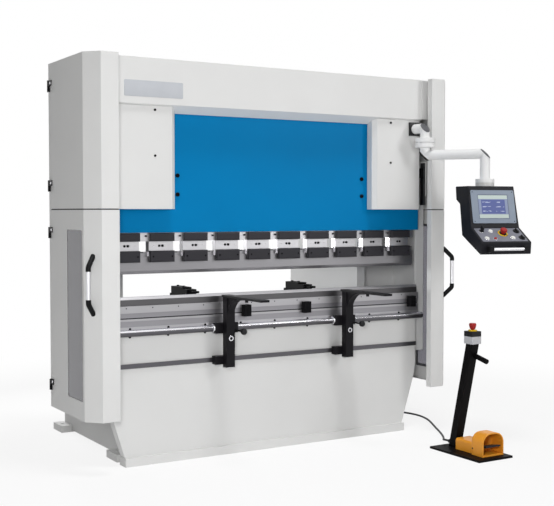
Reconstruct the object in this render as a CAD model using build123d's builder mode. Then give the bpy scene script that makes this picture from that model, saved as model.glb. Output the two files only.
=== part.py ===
import os
from math import acos, hypot, pi, tan

from build123d import *

os.makedirs("parts", exist_ok=True)

# Hydraulic press brake with a swivel pendant and a foot switch
# Millimetres, +Z up, +X along the bed, the operator stands on the -Y side
# Origin: floor level in the middle of the four anchor holes

# Shared values
over = 5.0  # how far a cut runs past a face
gap = 0.3  # room between pieces that slide past each other
run_fit = 0.05  # radial room of a shaft in its bore
slide_fit = 0.1  # radial room of a carriage on its rod
part_line = 0.1  # line between neighbouring solids of one group
sheet = 2.0  # folded sheet steel
flange = 18.0  # folded edge of a sheet panel
work_half = 1030.0  # half the length of the ram and the die holder

# Side plates of the frame
frame_inset = 182.0
frame_outer = work_half - frame_inset
anchor_reach = 32.0
anchor_pitch_x = 2 * (frame_outer + anchor_reach)
anchor_pitch_y = 870.0
anchor_hole = 22.0
frame_plate = 58.0
frame_clear = 12.0
frame_top = 2126.0
frame_tail = 45.0
frame_slope_low = 1500.0
frame_top_rear = 60.0
throat_depth = 245.0
throat_high = 1190.0
throat_radius = 60.0
foot_length = 150.0
foot_reach = 62.0
foot_height = 40.0
guide_low = 1195.0
guide_high = 1480.0
guide_depth = 65.0

# Bed plate
bed_ahead = 185.0
bed_plate = 60.0
bed_top = 700.0
bed_inset = 18.0
bed_half = work_half - bed_inset
bed_knee = 365.0
bed_knee_radius = 400.0
bed_taper = 102.0
bed_base_half = bed_half - bed_taper
plinth_lap = 4.0
plinth_half = bed_base_half + plinth_lap
plinth_height = 46.0
plinth_step = 20.0

# Ties and oil tank between the side plates
tie_plate = 40.0
top_tie_drop = 46.0
top_tie_height = 200.0
top_tie_high = frame_top - top_tie_drop
top_tie_low = top_tie_high - top_tie_height
rear_tie_back = 20.0
rear_tie_low = 300.0
rear_tie_high = 600.0
tank_front = -240.0
tank_rear = 180.0
tank_low = 1380.0
tank_high = 1760.0
tank_wall = 8.0
tank_hole_radius = 70.0

# Pump and motor on the tank lid
motor_x = -350.0
motor_y = -30.0
motor_flange_radius = 125.0
motor_flange = 16.0
motor_radius = 100.0
motor_height = 240.0
motor_fin = 8.0
motor_fin_width = 5.0
motor_fin_count = 20
motor_cap_radius = 110.0
motor_cap = 64.0
pump_radius = 60.0
pump_depth = 220.0

# Crossbeam cover and cylinder covers
beam_inset = 45.0
beam_half = work_half - beam_inset
beam_ahead = 85.0
beam_height = 234.0
beam_low = frame_top - beam_height
beam_lip_ahead = 10.0
beam_lip_drop = 37.0
beam_lip_z = beam_low - beam_lip_drop
beam_seat = 95.0
cover_ahead = 72.0
cover_reach = 207.0
cover_inner = frame_outer - cover_reach
cover_bevel_x = 24.0
cover_bevel_y = 22.0
cover_inset = 50.0
cover_outer = work_half - cover_inset
cover_low = 1350.0
cover_gap = 8.0
cover_high = beam_low - cover_gap
cover_room = 1.0
cover_back_room = 4.0
cover_tongue_drop = 50.0
cover_tongue_low = beam_low - cover_tongue_drop
cover_tongue = 4.0

# Hydraulic cylinders and rods
cylinder_radius = 80.0
cylinder_low = 1490.0
cylinder_room = 4.0
cylinder_high = cover_tongue_low - cylinder_room
cylinder_flange_half = 89.0
cylinder_flange_depth = 25.0
cylinder_flange_low = 1500.0
cylinder_flange_drop = 8.0
cylinder_flange_high = cylinder_high - cylinder_flange_drop
bore_radius = 60.0
bore_low = 1512.0
bore_drop = 22.0
bore_high = cylinder_high - bore_drop
rod_radius = 30.0
rod_foot_half = 50.0
rod_foot = 20.0
piston_drop = 16.0
piston = 50.0
piston_high = bore_high - piston_drop
piston_low = piston_high - piston

# Ram plate
ram_low = 1226.0
ram_shoulder = 1420.0
ram_top_gap = 30.0
ram_top = beam_low - ram_top_gap
ram_half = work_half
ram_neck_room = 39.0
ram_corner = 30.0

# Upper tool clamps
clamp_pitch = 198.0
clamp_count = int(2 * work_half / clamp_pitch)
clamp_width = 142.0
clamp_front = 18.0
clamp_back = 22.0
clamp_low = 1100.0
clamp_seat = 1180.0
clamp_inset = 30.0
clamp_rail_half = work_half - clamp_inset
clamp_oval_length = 36.0
clamp_oval_width = 14.0
clamp_oval_z = 1156.0
clamp_oval_depth = 5.0
clamp_hole_radius = 3.0
clamp_hole_x = 46.0
bar_depth = 24.0
bar_round = 8.0
bar_upper_high = 1224.0
bar_lower_low = 1070.0
bar_lower_high = 1130.0
bar_pin_radius = 2.5
bar_pin_reach = 18.0
bar_pin_z = 1122.0
bar_screw_x = 88.0
bar_screw_radius = 5.0
bar_screw_length = 8.0
bar_screw_z = 1208.0

# Punch, die and die holder
punch_half = clamp_rail_half
punch_body_half = 14.0
punch_body_low = 1025.0
punch_tip = 1008.0
punch_tip_half = 0.8
punch_tang_half = 7.0
punch_tang = 25.0
tang_room = 0.2
tang_room_top = 3.0
holder_half = work_half
holder_front = 35.0
holder_high = 842.0
holder_step_high = 805.0
holder_step_low = 780.0
holder_step = 4.0
holder_groove_low = 774.0
holder_groove = 8.0
holder_band_high = 763.0
holder_band_low = 732.0
holder_band = 3.0
holder_hole_z = 831.0
holder_hole_pitch = 150.0
holder_hole_radius = 3.0
holder_hole_depth = 8.0
holder_screw_z = 722.0
holder_screw_pitch = 220.0
holder_screw_radius = 6.0
die_inset = 2.0
die_half = work_half - die_inset
die_high = 888.0
die_base_half = 20.0
die_bevel_low = 876.0
die_top_half = 11.0
die_v_half = 8.0
die_v_depth = 8.0
die_tang_half = 6.0
die_tang = 20.0
die_clamp_left_end = 30.0
die_clamp_right_end = 63.0
die_clamp_middle = (-190.0, 205.0)
die_clamp_places = (die_clamp_left_end - work_half, *die_clamp_middle, work_half - die_clamp_right_end)
die_clamp_width = 46.0
die_clamp_low = 757.0
die_clamp_high = 822.0
die_clamp_depth = 33.0
die_clamp_round = 5.0
die_clamp_screw_radius = 9.0
die_clamp_screw = 3.0

# Support rod and lower rail for the front supports
rail_rod_radius = 18.0
rail_rod_ahead = 25.0
rail_rod_z = 703.0
rail_rod_lap = 10.0
rail_rod_half = work_half + rail_rod_lap
rail_strip_drop = 14.0
lower_rail_low = 515.0
lower_rail_high = 539.0
lower_rail_depth = 8.0

# Side housings and doors
door_room = 133.0
door_x = work_half + door_room
door_rear = -220.0
door_bevel_y = -710.0
door_bevel = 68.0
door_bevel_x = door_x - door_bevel
door_front = -785.0
door_inner_inset = 30.0
door_inner = work_half - door_inner_inset
door_return_y = -745.0
door_upper_low = 1352.0
door_over_frame = 4.0
door_upper_high = frame_top + door_over_frame
door_lower_low = 278.0
door_lower_high = 1346.0
window_front = -690.0
window_rear = -465.0
window_low = 375.0
window_high = 1244.0
window_round = 12.0
pane = 4.0
pane_lap = 15.0
housing_rear = -195.0
housing_post_front = -218.0
housing_roof_drop = 10.0
housing_roof_low = door_upper_high - housing_roof_drop
housing_roof_front = -690.0
housing_roof_side = 8.0
hinge_reach = 8.0
hinge_x = door_x + hinge_reach
hinge_y = -219.0
hinge_radius = 7.5
hinge_pin_radius = 3.5
hinge_half = 30.0
hinge_pin = 26.0
hinge_leaf = 6.0
hinge_fixed_front = -215.0
hinge_fixed_rear = -190.0
hinge_moving_front = -250.0
hinge_moving_rear = -223.0
hinge_upper_places = (1475.0, 2009.0)
hinge_lower_places = (402.0, 1224.0)
handle_low = 809.0
handle_high = 1130.0
handle_reach = 50.0
handle_radius = 11.0
handle_end_radius = 13.0
handle_end = 22.0
handle_bend = 22.0

# Electrical cabinet on the right side plate
cabinet_inset = 13.0
cabinet_outer = door_x - cabinet_inset
cabinet_front = -175.0
cabinet_rear = 225.0
cabinet_low = 700.0
cabinet_high = 1700.0
cabinet_panel = 3.0
cabinet_margin = 20.0
cabinet_hole_radius = 30.0

# Scale frames, linear scales and their readers
scale_room = 16.0
scale_strip_inner = work_half + scale_room
scale_strip_width = 63.0
scale_strip_outer = scale_strip_inner + scale_strip_width
scale_strip_front = -575.0
scale_strip_rear = -563.0
scale_strip_low = 476.0
scale_strip_high = 1640.0
scale_lug_places = (510.0, 660.0)
scale_lug_half = 20.0
scale_plate = 10.0
scale_plate_front = -680.0
scale_plate_low = 1430.0
scale_depth = 14.0
scale_width = 30.0
scale_low = 1377.0
scale_high = 1632.0
reader_inset = 24.0
reader_inner = work_half - reader_inset
reader_low = 1540.0
reader_high = 1600.0
reader_bar = 12.0
reader_bar_low = 1380.0

# Back gauge
gauge_rail = 20.0
gauge_rail_low = 600.0
gauge_rail_high = 630.0
gauge_rail_front = -350.0
gauge_rail_rear = 400.0
gauge_beam_inset = 108.0
gauge_beam_half = frame_outer - gauge_beam_inset
gauge_beam_front = -250.0
gauge_beam_rear = -170.0
gauge_beam_low = 585.0
gauge_beam_high = 645.0
gauge_shoe = 45.0
gauge_shoe_outer = gauge_beam_half + gauge_shoe
gauge_nut_half = 32.0
gauge_nut_low = 528.0
gauge_screw_z = 556.0
gauge_screw_radius = 12.5
gauge_screw_front = -545.0
gauge_screw_rear = 480.0
gauge_bearing_half = 32.0
gauge_bearing_depth = 60.0
gauge_motor_half = 45.0
gauge_motor_length = 150.0
finger_places = (("left", -416.0), ("right", 359.0))
finger_half = 30.0
finger_tip = -467.0
finger_tip_low = 881.0
finger_tip_high = 893.0
finger_tip_half = 20.0
finger_step = -412.0
finger_step_low = 873.0
finger_step_high = 900.0
finger_block_front = -350.0
finger_block_rear = -205.0
finger_block_low = 866.0
finger_block_high = 909.0
finger_post_half = 22.0
finger_lip = 12.0
finger_lip_drop = 40.0

# Front supports
arm_places = (("left", -330.0), ("right", 455.0))
arm_half = 25.0
arm_column_front = -715.0
arm_column_rear = -670.0
arm_column_low = 492.0
arm_top_low = 872.0
arm_top = 12.0
arm_top_front = -1085.0
arm_top_rear = -655.0
arm_end_plate = 4.0
arm_end_lap = 2.0
arm_gusset_half = 20.0
arm_gusset_low = 785.0
arm_gusset_front = -840.0
arm_gusset_curve_y = -764.0
arm_gusset_curve_z = 847.5
arm_carriage_half = 70.0
arm_carriage_rear = -636.0
arm_carriage_low = 675.0
arm_carriage_high = 731.0
arm_shoe_low = 505.0
arm_shoe_high = 550.0
arm_ring_radius = 13.0
arm_ring_hole = 6.0
arm_ring = 5.0
arm_ring_z = 650.0
arm_stop_radius = 9.0
arm_stop = 15.0
arm_stop_y = -890.0
knob_x = 58.0
knob_z = 687.0
knob_stem_radius = 5.0
knob_hole = 9.0
knob_insert = 8.0
knob_ball_radius = 18.0
knob_ball_ahead = 86.0

# Pendant arm
bracket_inset = 42.0
bracket_x = cover_outer - bracket_inset
bracket_z = 1832.0
bracket_half = 40.0
bracket_plate = 12.0
pivot_y = -796.0
pipe_radius = 29.0
mitre_share = 0.06
pivot_ring_radius = 48.0
pivot_ring_low = 1715.0
pivot_split = 1746.0
pivot_ring_high = 1775.0
pivot_pin_radius = 15.0
pivot_pin = 24.0
arm_z = 1672.0
hang_reach = 203.5
hang_x = bracket_x + hang_reach
hang_y = -1094.0
hang_ring_radius = 54.0
hang_ring_high = 1526.0
hang_split = 1505.0
hang_pin = 16.0

# Pendant, drawn square to the bed and then turned about the hanging axis
pendant_turn = -12.0
pendant_profile = ((78.0, 1483.0), (64.0, 1407.0), (20.0, 1382.0), (-21.0, 1202.0),
                   (-238.0, 1094.0), (-244.0, 1165.0), (-120.0, 1246.0), (-70.0, 1483.0))
pendant_half_low = 159.0
pendant_half_top = 147.0
pendant_round = 7.0
pendant_wall = 9.0
bezel_width = 280.0
bezel_height = 193.0
bezel_round = 8.0
bezel_depth = 4.0
lcd_width = 198.0
lcd_height = 143.0
lcd_depth = 1.5
desk_width = 306.0
button_depth = 14.0
button_travel = 4.0
button_proud = 7.0
white_radius = 12.0
white_spots = (("upper", 0.33, 0.27), ("left", 0.15, 0.74), ("right", 0.70, 0.72))
red_radius = 8.0
red_share = (0.32, 0.76)
collar_radius = 28.0
collar = 3.0
stop_share = (0.555, 0.42)
stop_radius = 20.0
stop_stem_radius = 11.0
stop_rise = 15.0
stop_head = 14.0
stop_round = 6.0
selector_shares = (("upper", 0.875, 0.28), ("lower", 0.89, 0.72))
selector_radius = 17.0
selector_proud = 6.0
selector_grip = 7.0
selector_grip_height = 9.0
key_share = (0.15, 0.25)
key_base_radius = 15.0
key_radius = 8.0
key_proud = 8.0
key_grip_width = 28.0
key_grip = 5.0
key_grip_height = 22.0
bar_end_x = 111.0
bar_end_width = 26.0
bar_end_height = 34.0
bar_end_reach = 36.0
bar_end_round = 6.0
bar_radius = 9.0
bar_reach = 24.0

# Pedal stand with its emergency-stop box
stand_plate_left = 735.0
stand_plate_right = 975.0
stand_plate_front = -1515.0
stand_plate_rear = -1105.0
stand_plate = 12.0
stand_x = 860.0
stand_foot_y = -1175.0
stand_top_y = -1315.0
stand_top = 609.0
stand_half = 25.0
stand_wall = 4.0
stand_handle_z = 547.0
stand_handle_x = 872.0
stand_handle_radius = 14.0
stand_handle = 96.0
box_half = 33.0
box_high = 679.0
box_collar_radius = 24.0
box_collar = 7.0
mushroom_stem_radius = 9.0
mushroom_stem_low = 664.0
mushroom_low = 691.0
mushroom_low_radius = 15.0
mushroom_mid = 710.0
mushroom_radius = 20.0
mushroom_high = 723.0
mushroom_round = 7.0

# Foot switch
switch_x = 875.0
switch_half = 75.0
switch_front = -1470.0
switch_hood_rear = -1365.0
switch_rear = -1230.0
switch_high = 138.0
switch_round = 56.0
switch_rear_round = 26.0
switch_wall = 6.0
switch_floor = 8.0
switch_body_half = 58.0
switch_body_high = 74.0
switch_body_round = 14.0
pedal_axis_y = -1388.0
pedal_axis_z = 48.0
pedal_pin_radius = 5.0
pedal_half = 52.0
pedal_front = -1468.0
pedal_tip_low = 60.0
pedal_plate = 9.0

# Cable between the frame and the pedal stand
cable_radius = 6.0
gland_radius = 11.0
gland_nut_radius = 15.0
gland_nut = 12.0
gland_y = -60.0
gland_z = 90.0
gland_length = 32.0
stand_gland_z = 32.0
stand_gland_end = -1125.0
cable_floor = 6.2
cable_runs = ((925.0, -60.0, 90.0), (985.0, -64.0, 66.0), (1050.0, -72.0, 30.0), (1120.0, -92.0, 9.0),
              (1200.0, -140.0, cable_floor), (1250.0, -230.0, cable_floor), (1268.0, -340.0, cable_floor),
              (1240.0, -460.0, cable_floor), (1185.0, -570.0, cable_floor), (1117.0, -690.0, cable_floor),
              (1052.0, -812.0, cable_floor), (985.0, -925.0, cable_floor), (932.0, -992.0, 8.0),
              (888.0, -1040.0, 20.0), (860.0, -1084.0, stand_gland_z))
cable_bend_share = 0.45

# Places worked out from the values above
frame_inner = frame_outer - frame_plate
anchor_x = anchor_pitch_x / 2
bed_front = -(anchor_pitch_y / 2 + bed_ahead)
bed_back = bed_front + bed_plate
bend_y = (bed_front + bed_back) / 2
column_front = bed_back + guide_depth
throat_back = bed_back + throat_depth
frame_rear = anchor_pitch_y / 2 + frame_tail
beam_front = bed_front - beam_ahead
beam_top = frame_top + sheet
cover_front = bed_front - cover_ahead
cylinder_x = (frame_inner + frame_outer) / 2
ram_neck_half = cylinder_x - cylinder_radius - ram_neck_room
clamp_face = bend_y - clamp_front
bar_face = clamp_face - bar_depth
clamp_places = [(i - (clamp_count - 1) / 2) * clamp_pitch for i in range(clamp_count)]
sides = (("left", -1), ("right", 1))


# A block between two corners
def block(x0, x1, y0, y1, z0, z1, mode=Mode.ADD):
    with Locations(((x0 + x1) / 2, (y0 + y1) / 2, (z0 + z1) / 2)):
        Box(abs(x1 - x0), abs(y1 - y0), abs(z1 - z0), mode=mode)


# Round bars along each axis
def bar_up(x, y, z0, z1, radius, mode=Mode.ADD):
    with Locations((x, y, (z0 + z1) / 2)):
        Cylinder(radius, abs(z1 - z0), mode=mode)


def bar_deep(x, z, y0, y1, radius, mode=Mode.ADD):
    with Locations(Location((x, (y0 + y1) / 2, z), (90, 0, 0))):
        Cylinder(radius, abs(y1 - y0), mode=mode)


def bar_wide(y, z, x0, x1, radius, mode=Mode.ADD):
    with Locations(Location(((x0 + x1) / 2, y, z), (0, 90, 0))):
        Cylinder(radius, abs(x1 - x0), mode=mode)


# The same piece on the other side of the machine
def twin_of(piece):
    with BuildPart() as twin:
        mirror(piece.part, about=Plane.YZ)
    return twin


def save(piece, name):
    piece.part.label = name
    export_step(piece.part, f"parts/{name}.step")


def save_pair(right_piece, name):
    save(right_piece, f"{name}_right")
    save(twin_of(right_piece), f"{name}_left")


# Side plates with feet and ram guides
with BuildPart() as side_frames:
    with BuildSketch(Plane.YZ.offset(frame_inner)) as side_outline:
        with BuildLine():
            Polyline((bed_back, frame_clear), (frame_rear, frame_clear), (frame_rear, frame_slope_low),
                     (frame_top_rear, frame_top), (column_front, frame_top), (column_front, throat_high),
                     (throat_back, throat_high), (throat_back, bed_top), (bed_back, bed_top), close=True)
        make_face()
        throat_corners = side_outline.vertices().filter_by_position(Axis.X, throat_back - over,
                                                                    throat_back + over)
        fillet(throat_corners, throat_radius)
    extrude(amount=frame_plate)
    for anchor_y in (-anchor_pitch_y / 2, anchor_pitch_y / 2):
        foot_front = anchor_y - foot_length / 2
        foot_rear = anchor_y + foot_length / 2
        block(frame_inner, frame_outer + foot_reach, foot_front, foot_rear, 0, frame_clear)
        block(frame_outer, frame_outer + foot_reach, foot_front, foot_rear, 0, foot_height)
        bar_up(anchor_x, anchor_y, -over, foot_height + over, anchor_hole / 2, Mode.SUBTRACT)
    block(frame_inner, frame_outer, bed_back + gap, column_front, guide_low, guide_high)
    mirror(about=Plane.YZ)
save(side_frames, "side_frames")

# Ties and oil tank welded between the side plates
rear_tie_rear = frame_rear - rear_tie_back
with BuildPart() as frame_ties:
    block(-frame_inner, frame_inner, column_front, column_front + tie_plate, top_tie_low, top_tie_high)
    block(-frame_inner, frame_inner, rear_tie_rear - tie_plate, rear_tie_rear, rear_tie_low, rear_tie_high)
    block(-frame_inner, frame_inner, tank_front, tank_rear, tank_low, tank_high)
    block(-frame_inner + tank_wall, frame_inner - tank_wall, tank_front + tank_wall, tank_rear - tank_wall,
          tank_low + tank_wall, tank_high - tank_wall, Mode.SUBTRACT)
    bar_up(motor_x, motor_y, tank_high - tank_wall - over, tank_high + over, tank_hole_radius,
           Mode.SUBTRACT)
    bar_deep(0, gauge_screw_z, rear_tie_rear - tie_plate - over, rear_tie_rear + over,
             gauge_screw_radius + over, Mode.SUBTRACT)
save(frame_ties, "frame_ties")

# Pump hanging in the tank and its motor on the lid
with BuildPart() as pump_motor:
    bar_up(motor_x, motor_y, tank_high, tank_high + motor_flange, motor_flange_radius)
    bar_up(motor_x, motor_y, tank_high + motor_flange, tank_high + motor_flange + motor_height,
           motor_radius)
    with Locations((motor_x, motor_y, tank_high + motor_flange + motor_height / 2)):
        with PolarLocations(motor_radius, motor_fin_count):
            Box(2 * motor_fin, motor_fin_width, motor_height)
    motor_cap_low = tank_high + motor_flange + motor_height
    bar_up(motor_x, motor_y, motor_cap_low, motor_cap_low + motor_cap, motor_cap_radius)
    bar_up(motor_x, motor_y, tank_high - pump_depth, tank_high, pump_radius)
save(pump_motor, "pump_motor")

# Bed plate on its plinth
with BuildPart() as bed:
    with BuildSketch(Plane.XZ.offset(-bed_front)) as bed_outline:
        with BuildLine():
            Polyline((bed_half, bed_top), (bed_half, bed_knee), (bed_base_half, plinth_height),
                     (-bed_base_half, plinth_height), (-bed_half, bed_knee), (-bed_half, bed_top),
                     close=True)
        make_face()
        bed_knees = bed_outline.vertices().filter_by_position(Axis.Y, bed_knee - over, bed_knee + over)
        fillet(bed_knees, bed_knee_radius)
    extrude(amount=-bed_plate)
    block(-plinth_half, plinth_half, bed_front - plinth_step, bed_back, 0, plinth_height)
save(bed, "bed")

# Folded cover in front of the frame's top
with BuildPart() as crossbeam_cover:
    with BuildSketch(Plane.YZ) as beam_outline:
        with BuildLine():
            Polyline((column_front + beam_seat, beam_top), (beam_front, beam_top), (beam_front, beam_low),
                     (bed_front - beam_lip_ahead, beam_lip_z))
            offset(amount=sheet, side=Side.LEFT)
        make_face()
    extrude(amount=beam_half, both=True)
save(crossbeam_cover, "crossbeam_cover")

# Covers in front of the cylinders, cut to the slope under the crossbeam
beam_slope_share = (beam_low - beam_lip_z) / (beam_ahead - beam_lip_ahead)
with BuildPart() as cylinder_covers:
    with BuildSketch(Plane.XY.offset(cover_low)):
        with BuildLine():
            Polyline((cover_inner, bed_front - cover_back_room), (cover_inner, cover_front + cover_bevel_y),
                     (cover_inner + cover_bevel_x, cover_front), (cover_outer, cover_front),
                     (cover_outer, bed_front - cover_back_room))
            offset(amount=sheet, side=Side.LEFT)
        make_face()
    extrude(amount=cover_high - cover_low)
    with BuildSketch(Plane.YZ):
        with BuildLine():
            Polyline((beam_front, beam_low - cover_room),
                     (bed_front, beam_low - cover_room - beam_slope_share * beam_ahead),
                     (bed_front, beam_top), (beam_front, beam_top), close=True)
        make_face()
    extrude(amount=beam_half, mode=Mode.SUBTRACT)
    block(frame_inner, frame_outer, cover_front + sheet, column_front,
          cover_tongue_low, cover_tongue_low + cover_tongue)
    mirror(about=Plane.YZ)
save(cylinder_covers, "cylinder_covers")

# Hydraulic cylinders bolted to the front edges of the side plates
with BuildPart() as cylinders:
    bar_up(cylinder_x, bend_y, cylinder_low, cylinder_high, cylinder_radius)
    block(cylinder_x - cylinder_flange_half, cylinder_x + cylinder_flange_half,
          column_front - cylinder_flange_depth,
          column_front, cylinder_flange_low, cylinder_flange_high)
    bar_up(cylinder_x, bend_y, bore_low, bore_high, bore_radius, Mode.SUBTRACT)
    bar_up(cylinder_x, bend_y, cylinder_low - over, bore_low + over, rod_radius + run_fit, Mode.SUBTRACT)
    mirror(about=Plane.YZ)
save(cylinders, "cylinders")

# Piston rods standing on the ram's shoulders
with BuildPart() as piston_rods:
    block(cylinder_x - rod_foot_half, cylinder_x + rod_foot_half, bed_front, bed_back,
          ram_shoulder, ram_shoulder + rod_foot)
    bar_up(cylinder_x, bend_y, ram_shoulder + rod_foot, piston_high, rod_radius)
    bar_up(cylinder_x, bend_y, piston_low, piston_high, bore_radius - run_fit)
    mirror(about=Plane.YZ)
save(piston_rods, "piston_rods")

# Ram plate
with BuildPart() as ram:
    with BuildSketch(Plane.XZ.offset(-bed_front)) as ram_outline:
        with BuildLine():
            Polyline((ram_half, ram_low), (ram_half, ram_shoulder), (ram_neck_half, ram_shoulder),
                     (ram_neck_half, ram_top), (-ram_neck_half, ram_top), (-ram_neck_half, ram_shoulder),
                     (-ram_half, ram_shoulder), (-ram_half, ram_low), close=True)
        make_face()
        ram_corners = ram_outline.vertices().filter_by_position(Axis.X, -ram_neck_half - over,
                                                                ram_neck_half + over)
        fillet(ram_corners.filter_by_position(Axis.Y, ram_shoulder - over, ram_shoulder + over), ram_corner)
    extrude(amount=-bed_plate)
save(ram, "ram")

# Steel clamp blocks under one rail
with BuildPart() as clamp_blocks:
    block(-clamp_rail_half, clamp_rail_half, clamp_face, bend_y + clamp_back, clamp_seat, ram_low)
    for clamp_x in clamp_places:
        block(clamp_x - clamp_width / 2, clamp_x + clamp_width / 2, clamp_face, bend_y + clamp_back,
              clamp_low, clamp_seat - part_line)
        for hole_x in (-clamp_hole_x, clamp_hole_x):
            bar_deep(clamp_x + hole_x, clamp_oval_z, clamp_face - over, clamp_face + clamp_oval_depth,
                     clamp_hole_radius, Mode.SUBTRACT)
    block(-clamp_rail_half, clamp_rail_half, bend_y - punch_tang_half - tang_room,
          bend_y + punch_tang_half + tang_room, clamp_low - over, clamp_low + punch_tang + tang_room_top,
          Mode.SUBTRACT)
    with BuildSketch(Plane.XZ.offset(-clamp_face)):
        with Locations(*[(clamp_x, clamp_oval_z) for clamp_x in clamp_places]):
            SlotOverall(clamp_oval_length, clamp_oval_width)
    extrude(amount=-clamp_oval_depth, mode=Mode.SUBTRACT)
save(clamp_blocks, "clamp_blocks")

# Black bars in front of every clamp, with a pin and a screw each
with BuildPart() as upper_bar:
    block(-clamp_width / 2, clamp_width / 2, bar_face, clamp_face, clamp_seat, bar_upper_high)
    fillet(upper_bar.faces().sort_by(Axis.Y)[0].edges(), bar_round)
with BuildPart() as lower_bar:
    block(-clamp_width / 2, clamp_width / 2, bar_face, clamp_face, bar_lower_low, bar_lower_high)
    fillet(lower_bar.faces().sort_by(Axis.Y)[0].edges(), bar_round)
    bar_wide((bar_face + clamp_face) / 2, bar_pin_z, clamp_width / 2, clamp_width / 2 + bar_pin_reach,
             bar_pin_radius)
with BuildPart() as clamp_bars:
    with Locations(*[(clamp_x, 0, 0) for clamp_x in clamp_places]):
        add(upper_bar.part)
        add(lower_bar.part)
    for clamp_x in clamp_places:
        bar_deep(clamp_x - bar_screw_x, bar_screw_z, clamp_face - bar_screw_length, clamp_face,
                 bar_screw_radius)
save(clamp_bars, "clamp_bars")

# Punch hanging in the clamps
with BuildPart() as punch:
    with BuildSketch(Plane.YZ):
        with BuildLine():
            Polyline((bend_y - punch_tip_half, punch_tip), (bend_y + punch_tip_half, punch_tip),
                     (bend_y + punch_body_half, punch_body_low), (bend_y + punch_body_half, clamp_low),
                     (bend_y + punch_tang_half, clamp_low),
                     (bend_y + punch_tang_half, clamp_low + punch_tang),
                     (bend_y - punch_tang_half, clamp_low + punch_tang),
                     (bend_y - punch_tang_half, clamp_low),
                     (bend_y - punch_body_half, clamp_low), (bend_y - punch_body_half, punch_body_low),
                     close=True)
        make_face()
    extrude(amount=punch_half, both=True)
save(punch, "punch")

# Die holder with its front grooves, clamp holes and fixing screws
holder_face = bend_y - holder_front
tang_slot_half = die_tang_half + tang_room
hole_count = int(2 * holder_half / holder_hole_pitch)
screw_count = int(2 * holder_half / holder_screw_pitch)
with BuildPart() as die_holder:
    with BuildSketch(Plane.YZ):
        with BuildLine():
            Polyline((holder_face, bed_top), (bend_y + holder_front, bed_top),
                     (bend_y + holder_front, holder_high),
                     (bend_y + tang_slot_half, holder_high),
                     (bend_y + tang_slot_half, holder_high - die_tang - tang_room),
                     (bend_y - tang_slot_half, holder_high - die_tang - tang_room),
                     (bend_y - tang_slot_half, holder_high),
                     (holder_face, holder_high), (holder_face, holder_step_high),
                     (holder_face + holder_step, holder_step_high),
                     (holder_face + holder_step, holder_step_low),
                     (holder_face + holder_groove, holder_step_low),
                     (holder_face + holder_groove, holder_groove_low),
                     (holder_face, holder_groove_low), (holder_face, holder_band_high),
                     (holder_face + holder_band, holder_band_high),
                     (holder_face + holder_band, holder_band_low),
                     (holder_face, holder_band_low), close=True)
        make_face()
    extrude(amount=holder_half, both=True)
    for i in range(hole_count):
        bar_deep((i - (hole_count - 1) / 2) * holder_hole_pitch, holder_hole_z, holder_face - over,
                 holder_face + holder_hole_depth, holder_hole_radius, Mode.SUBTRACT)
    for i in range(screw_count):
        bar_deep((i - (screw_count - 1) / 2) * holder_screw_pitch, holder_screw_z, holder_face - over,
                 holder_face + holder_hole_depth, holder_screw_radius, Mode.SUBTRACT)
save(die_holder, "die_holder")

# V die in the holder's slot
with BuildPart() as lower_die:
    with BuildSketch(Plane.YZ):
        with BuildLine():
            Polyline((bend_y, die_high - die_v_depth), (bend_y + die_v_half, die_high),
                     (bend_y + die_top_half, die_high),
                     (bend_y + die_base_half, die_bevel_low), (bend_y + die_base_half, holder_high),
                     (bend_y + die_tang_half, holder_high),
                     (bend_y + die_tang_half, holder_high - die_tang),
                     (bend_y - die_tang_half, holder_high - die_tang),
                     (bend_y - die_tang_half, holder_high),
                     (bend_y - die_base_half, holder_high), (bend_y - die_base_half, die_bevel_low),
                     (bend_y - die_top_half, die_high), (bend_y - die_v_half, die_high), close=True)
        make_face()
    extrude(amount=die_half, both=True)
save(lower_die, "lower_die")

# Clamps on the front of the die holder
with BuildPart() as die_clamp:
    block(-die_clamp_width / 2, die_clamp_width / 2, holder_face - die_clamp_depth, holder_face,
          die_clamp_low, die_clamp_high)
    fillet(die_clamp.faces().sort_by(Axis.Y)[0].edges(), die_clamp_round)
    bar_deep(0, (die_clamp_low + die_clamp_high) / 2, holder_face - die_clamp_depth - die_clamp_screw,
             holder_face - die_clamp_depth, die_clamp_screw_radius)
with BuildPart() as die_clamps:
    with Locations(*[(clamp_x, 0, 0) for clamp_x in die_clamp_places]):
        add(die_clamp.part)
save(die_clamps, "die_clamps")

# Support rod on its strip, and the lower rail
rod_y = bed_front - rail_rod_ahead
with BuildPart() as guide_rails:
    bar_wide(rod_y, rail_rod_z, -rail_rod_half, rail_rod_half, rail_rod_radius)
    block(-bed_half, bed_half, rod_y, bed_front, rail_rod_z - rail_strip_drop, bed_top - gap)
    block(-bed_half, bed_half, bed_front - lower_rail_depth, bed_front, lower_rail_low, lower_rail_high)
save(guide_rails, "guide_rails")

# Fixed side housings: rear panel, hinge post and roof
with BuildPart() as housings:
    block(frame_outer, door_x, housing_rear - sheet, housing_rear, door_lower_low, door_upper_high)
    block(frame_outer, frame_outer + sheet, housing_rear, housing_rear + flange, door_lower_low,
          door_upper_high)
    block(door_x - sheet, door_x, housing_post_front, housing_rear, door_lower_low, door_upper_high)
    block(frame_outer, door_x - housing_roof_side, housing_roof_front, housing_rear,
          housing_roof_low, housing_roof_low + sheet)
    mirror(about=Plane.YZ)
save(housings, "housings")

# Fixed halves of the lift-off hinges
with BuildPart() as hinge_pins:
    for hinge_z in hinge_upper_places + hinge_lower_places:
        block(door_x, door_x + hinge_leaf, hinge_fixed_front, hinge_fixed_rear, hinge_z - hinge_half,
              hinge_z - gap)
        bar_up(hinge_x, hinge_y, hinge_z - hinge_half, hinge_z - gap, hinge_radius)
        bar_up(hinge_x, hinge_y, hinge_z - gap, hinge_z + hinge_pin, hinge_pin_radius)
    mirror(about=Plane.YZ)
save(hinge_pins, "hinge_pins")


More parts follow.
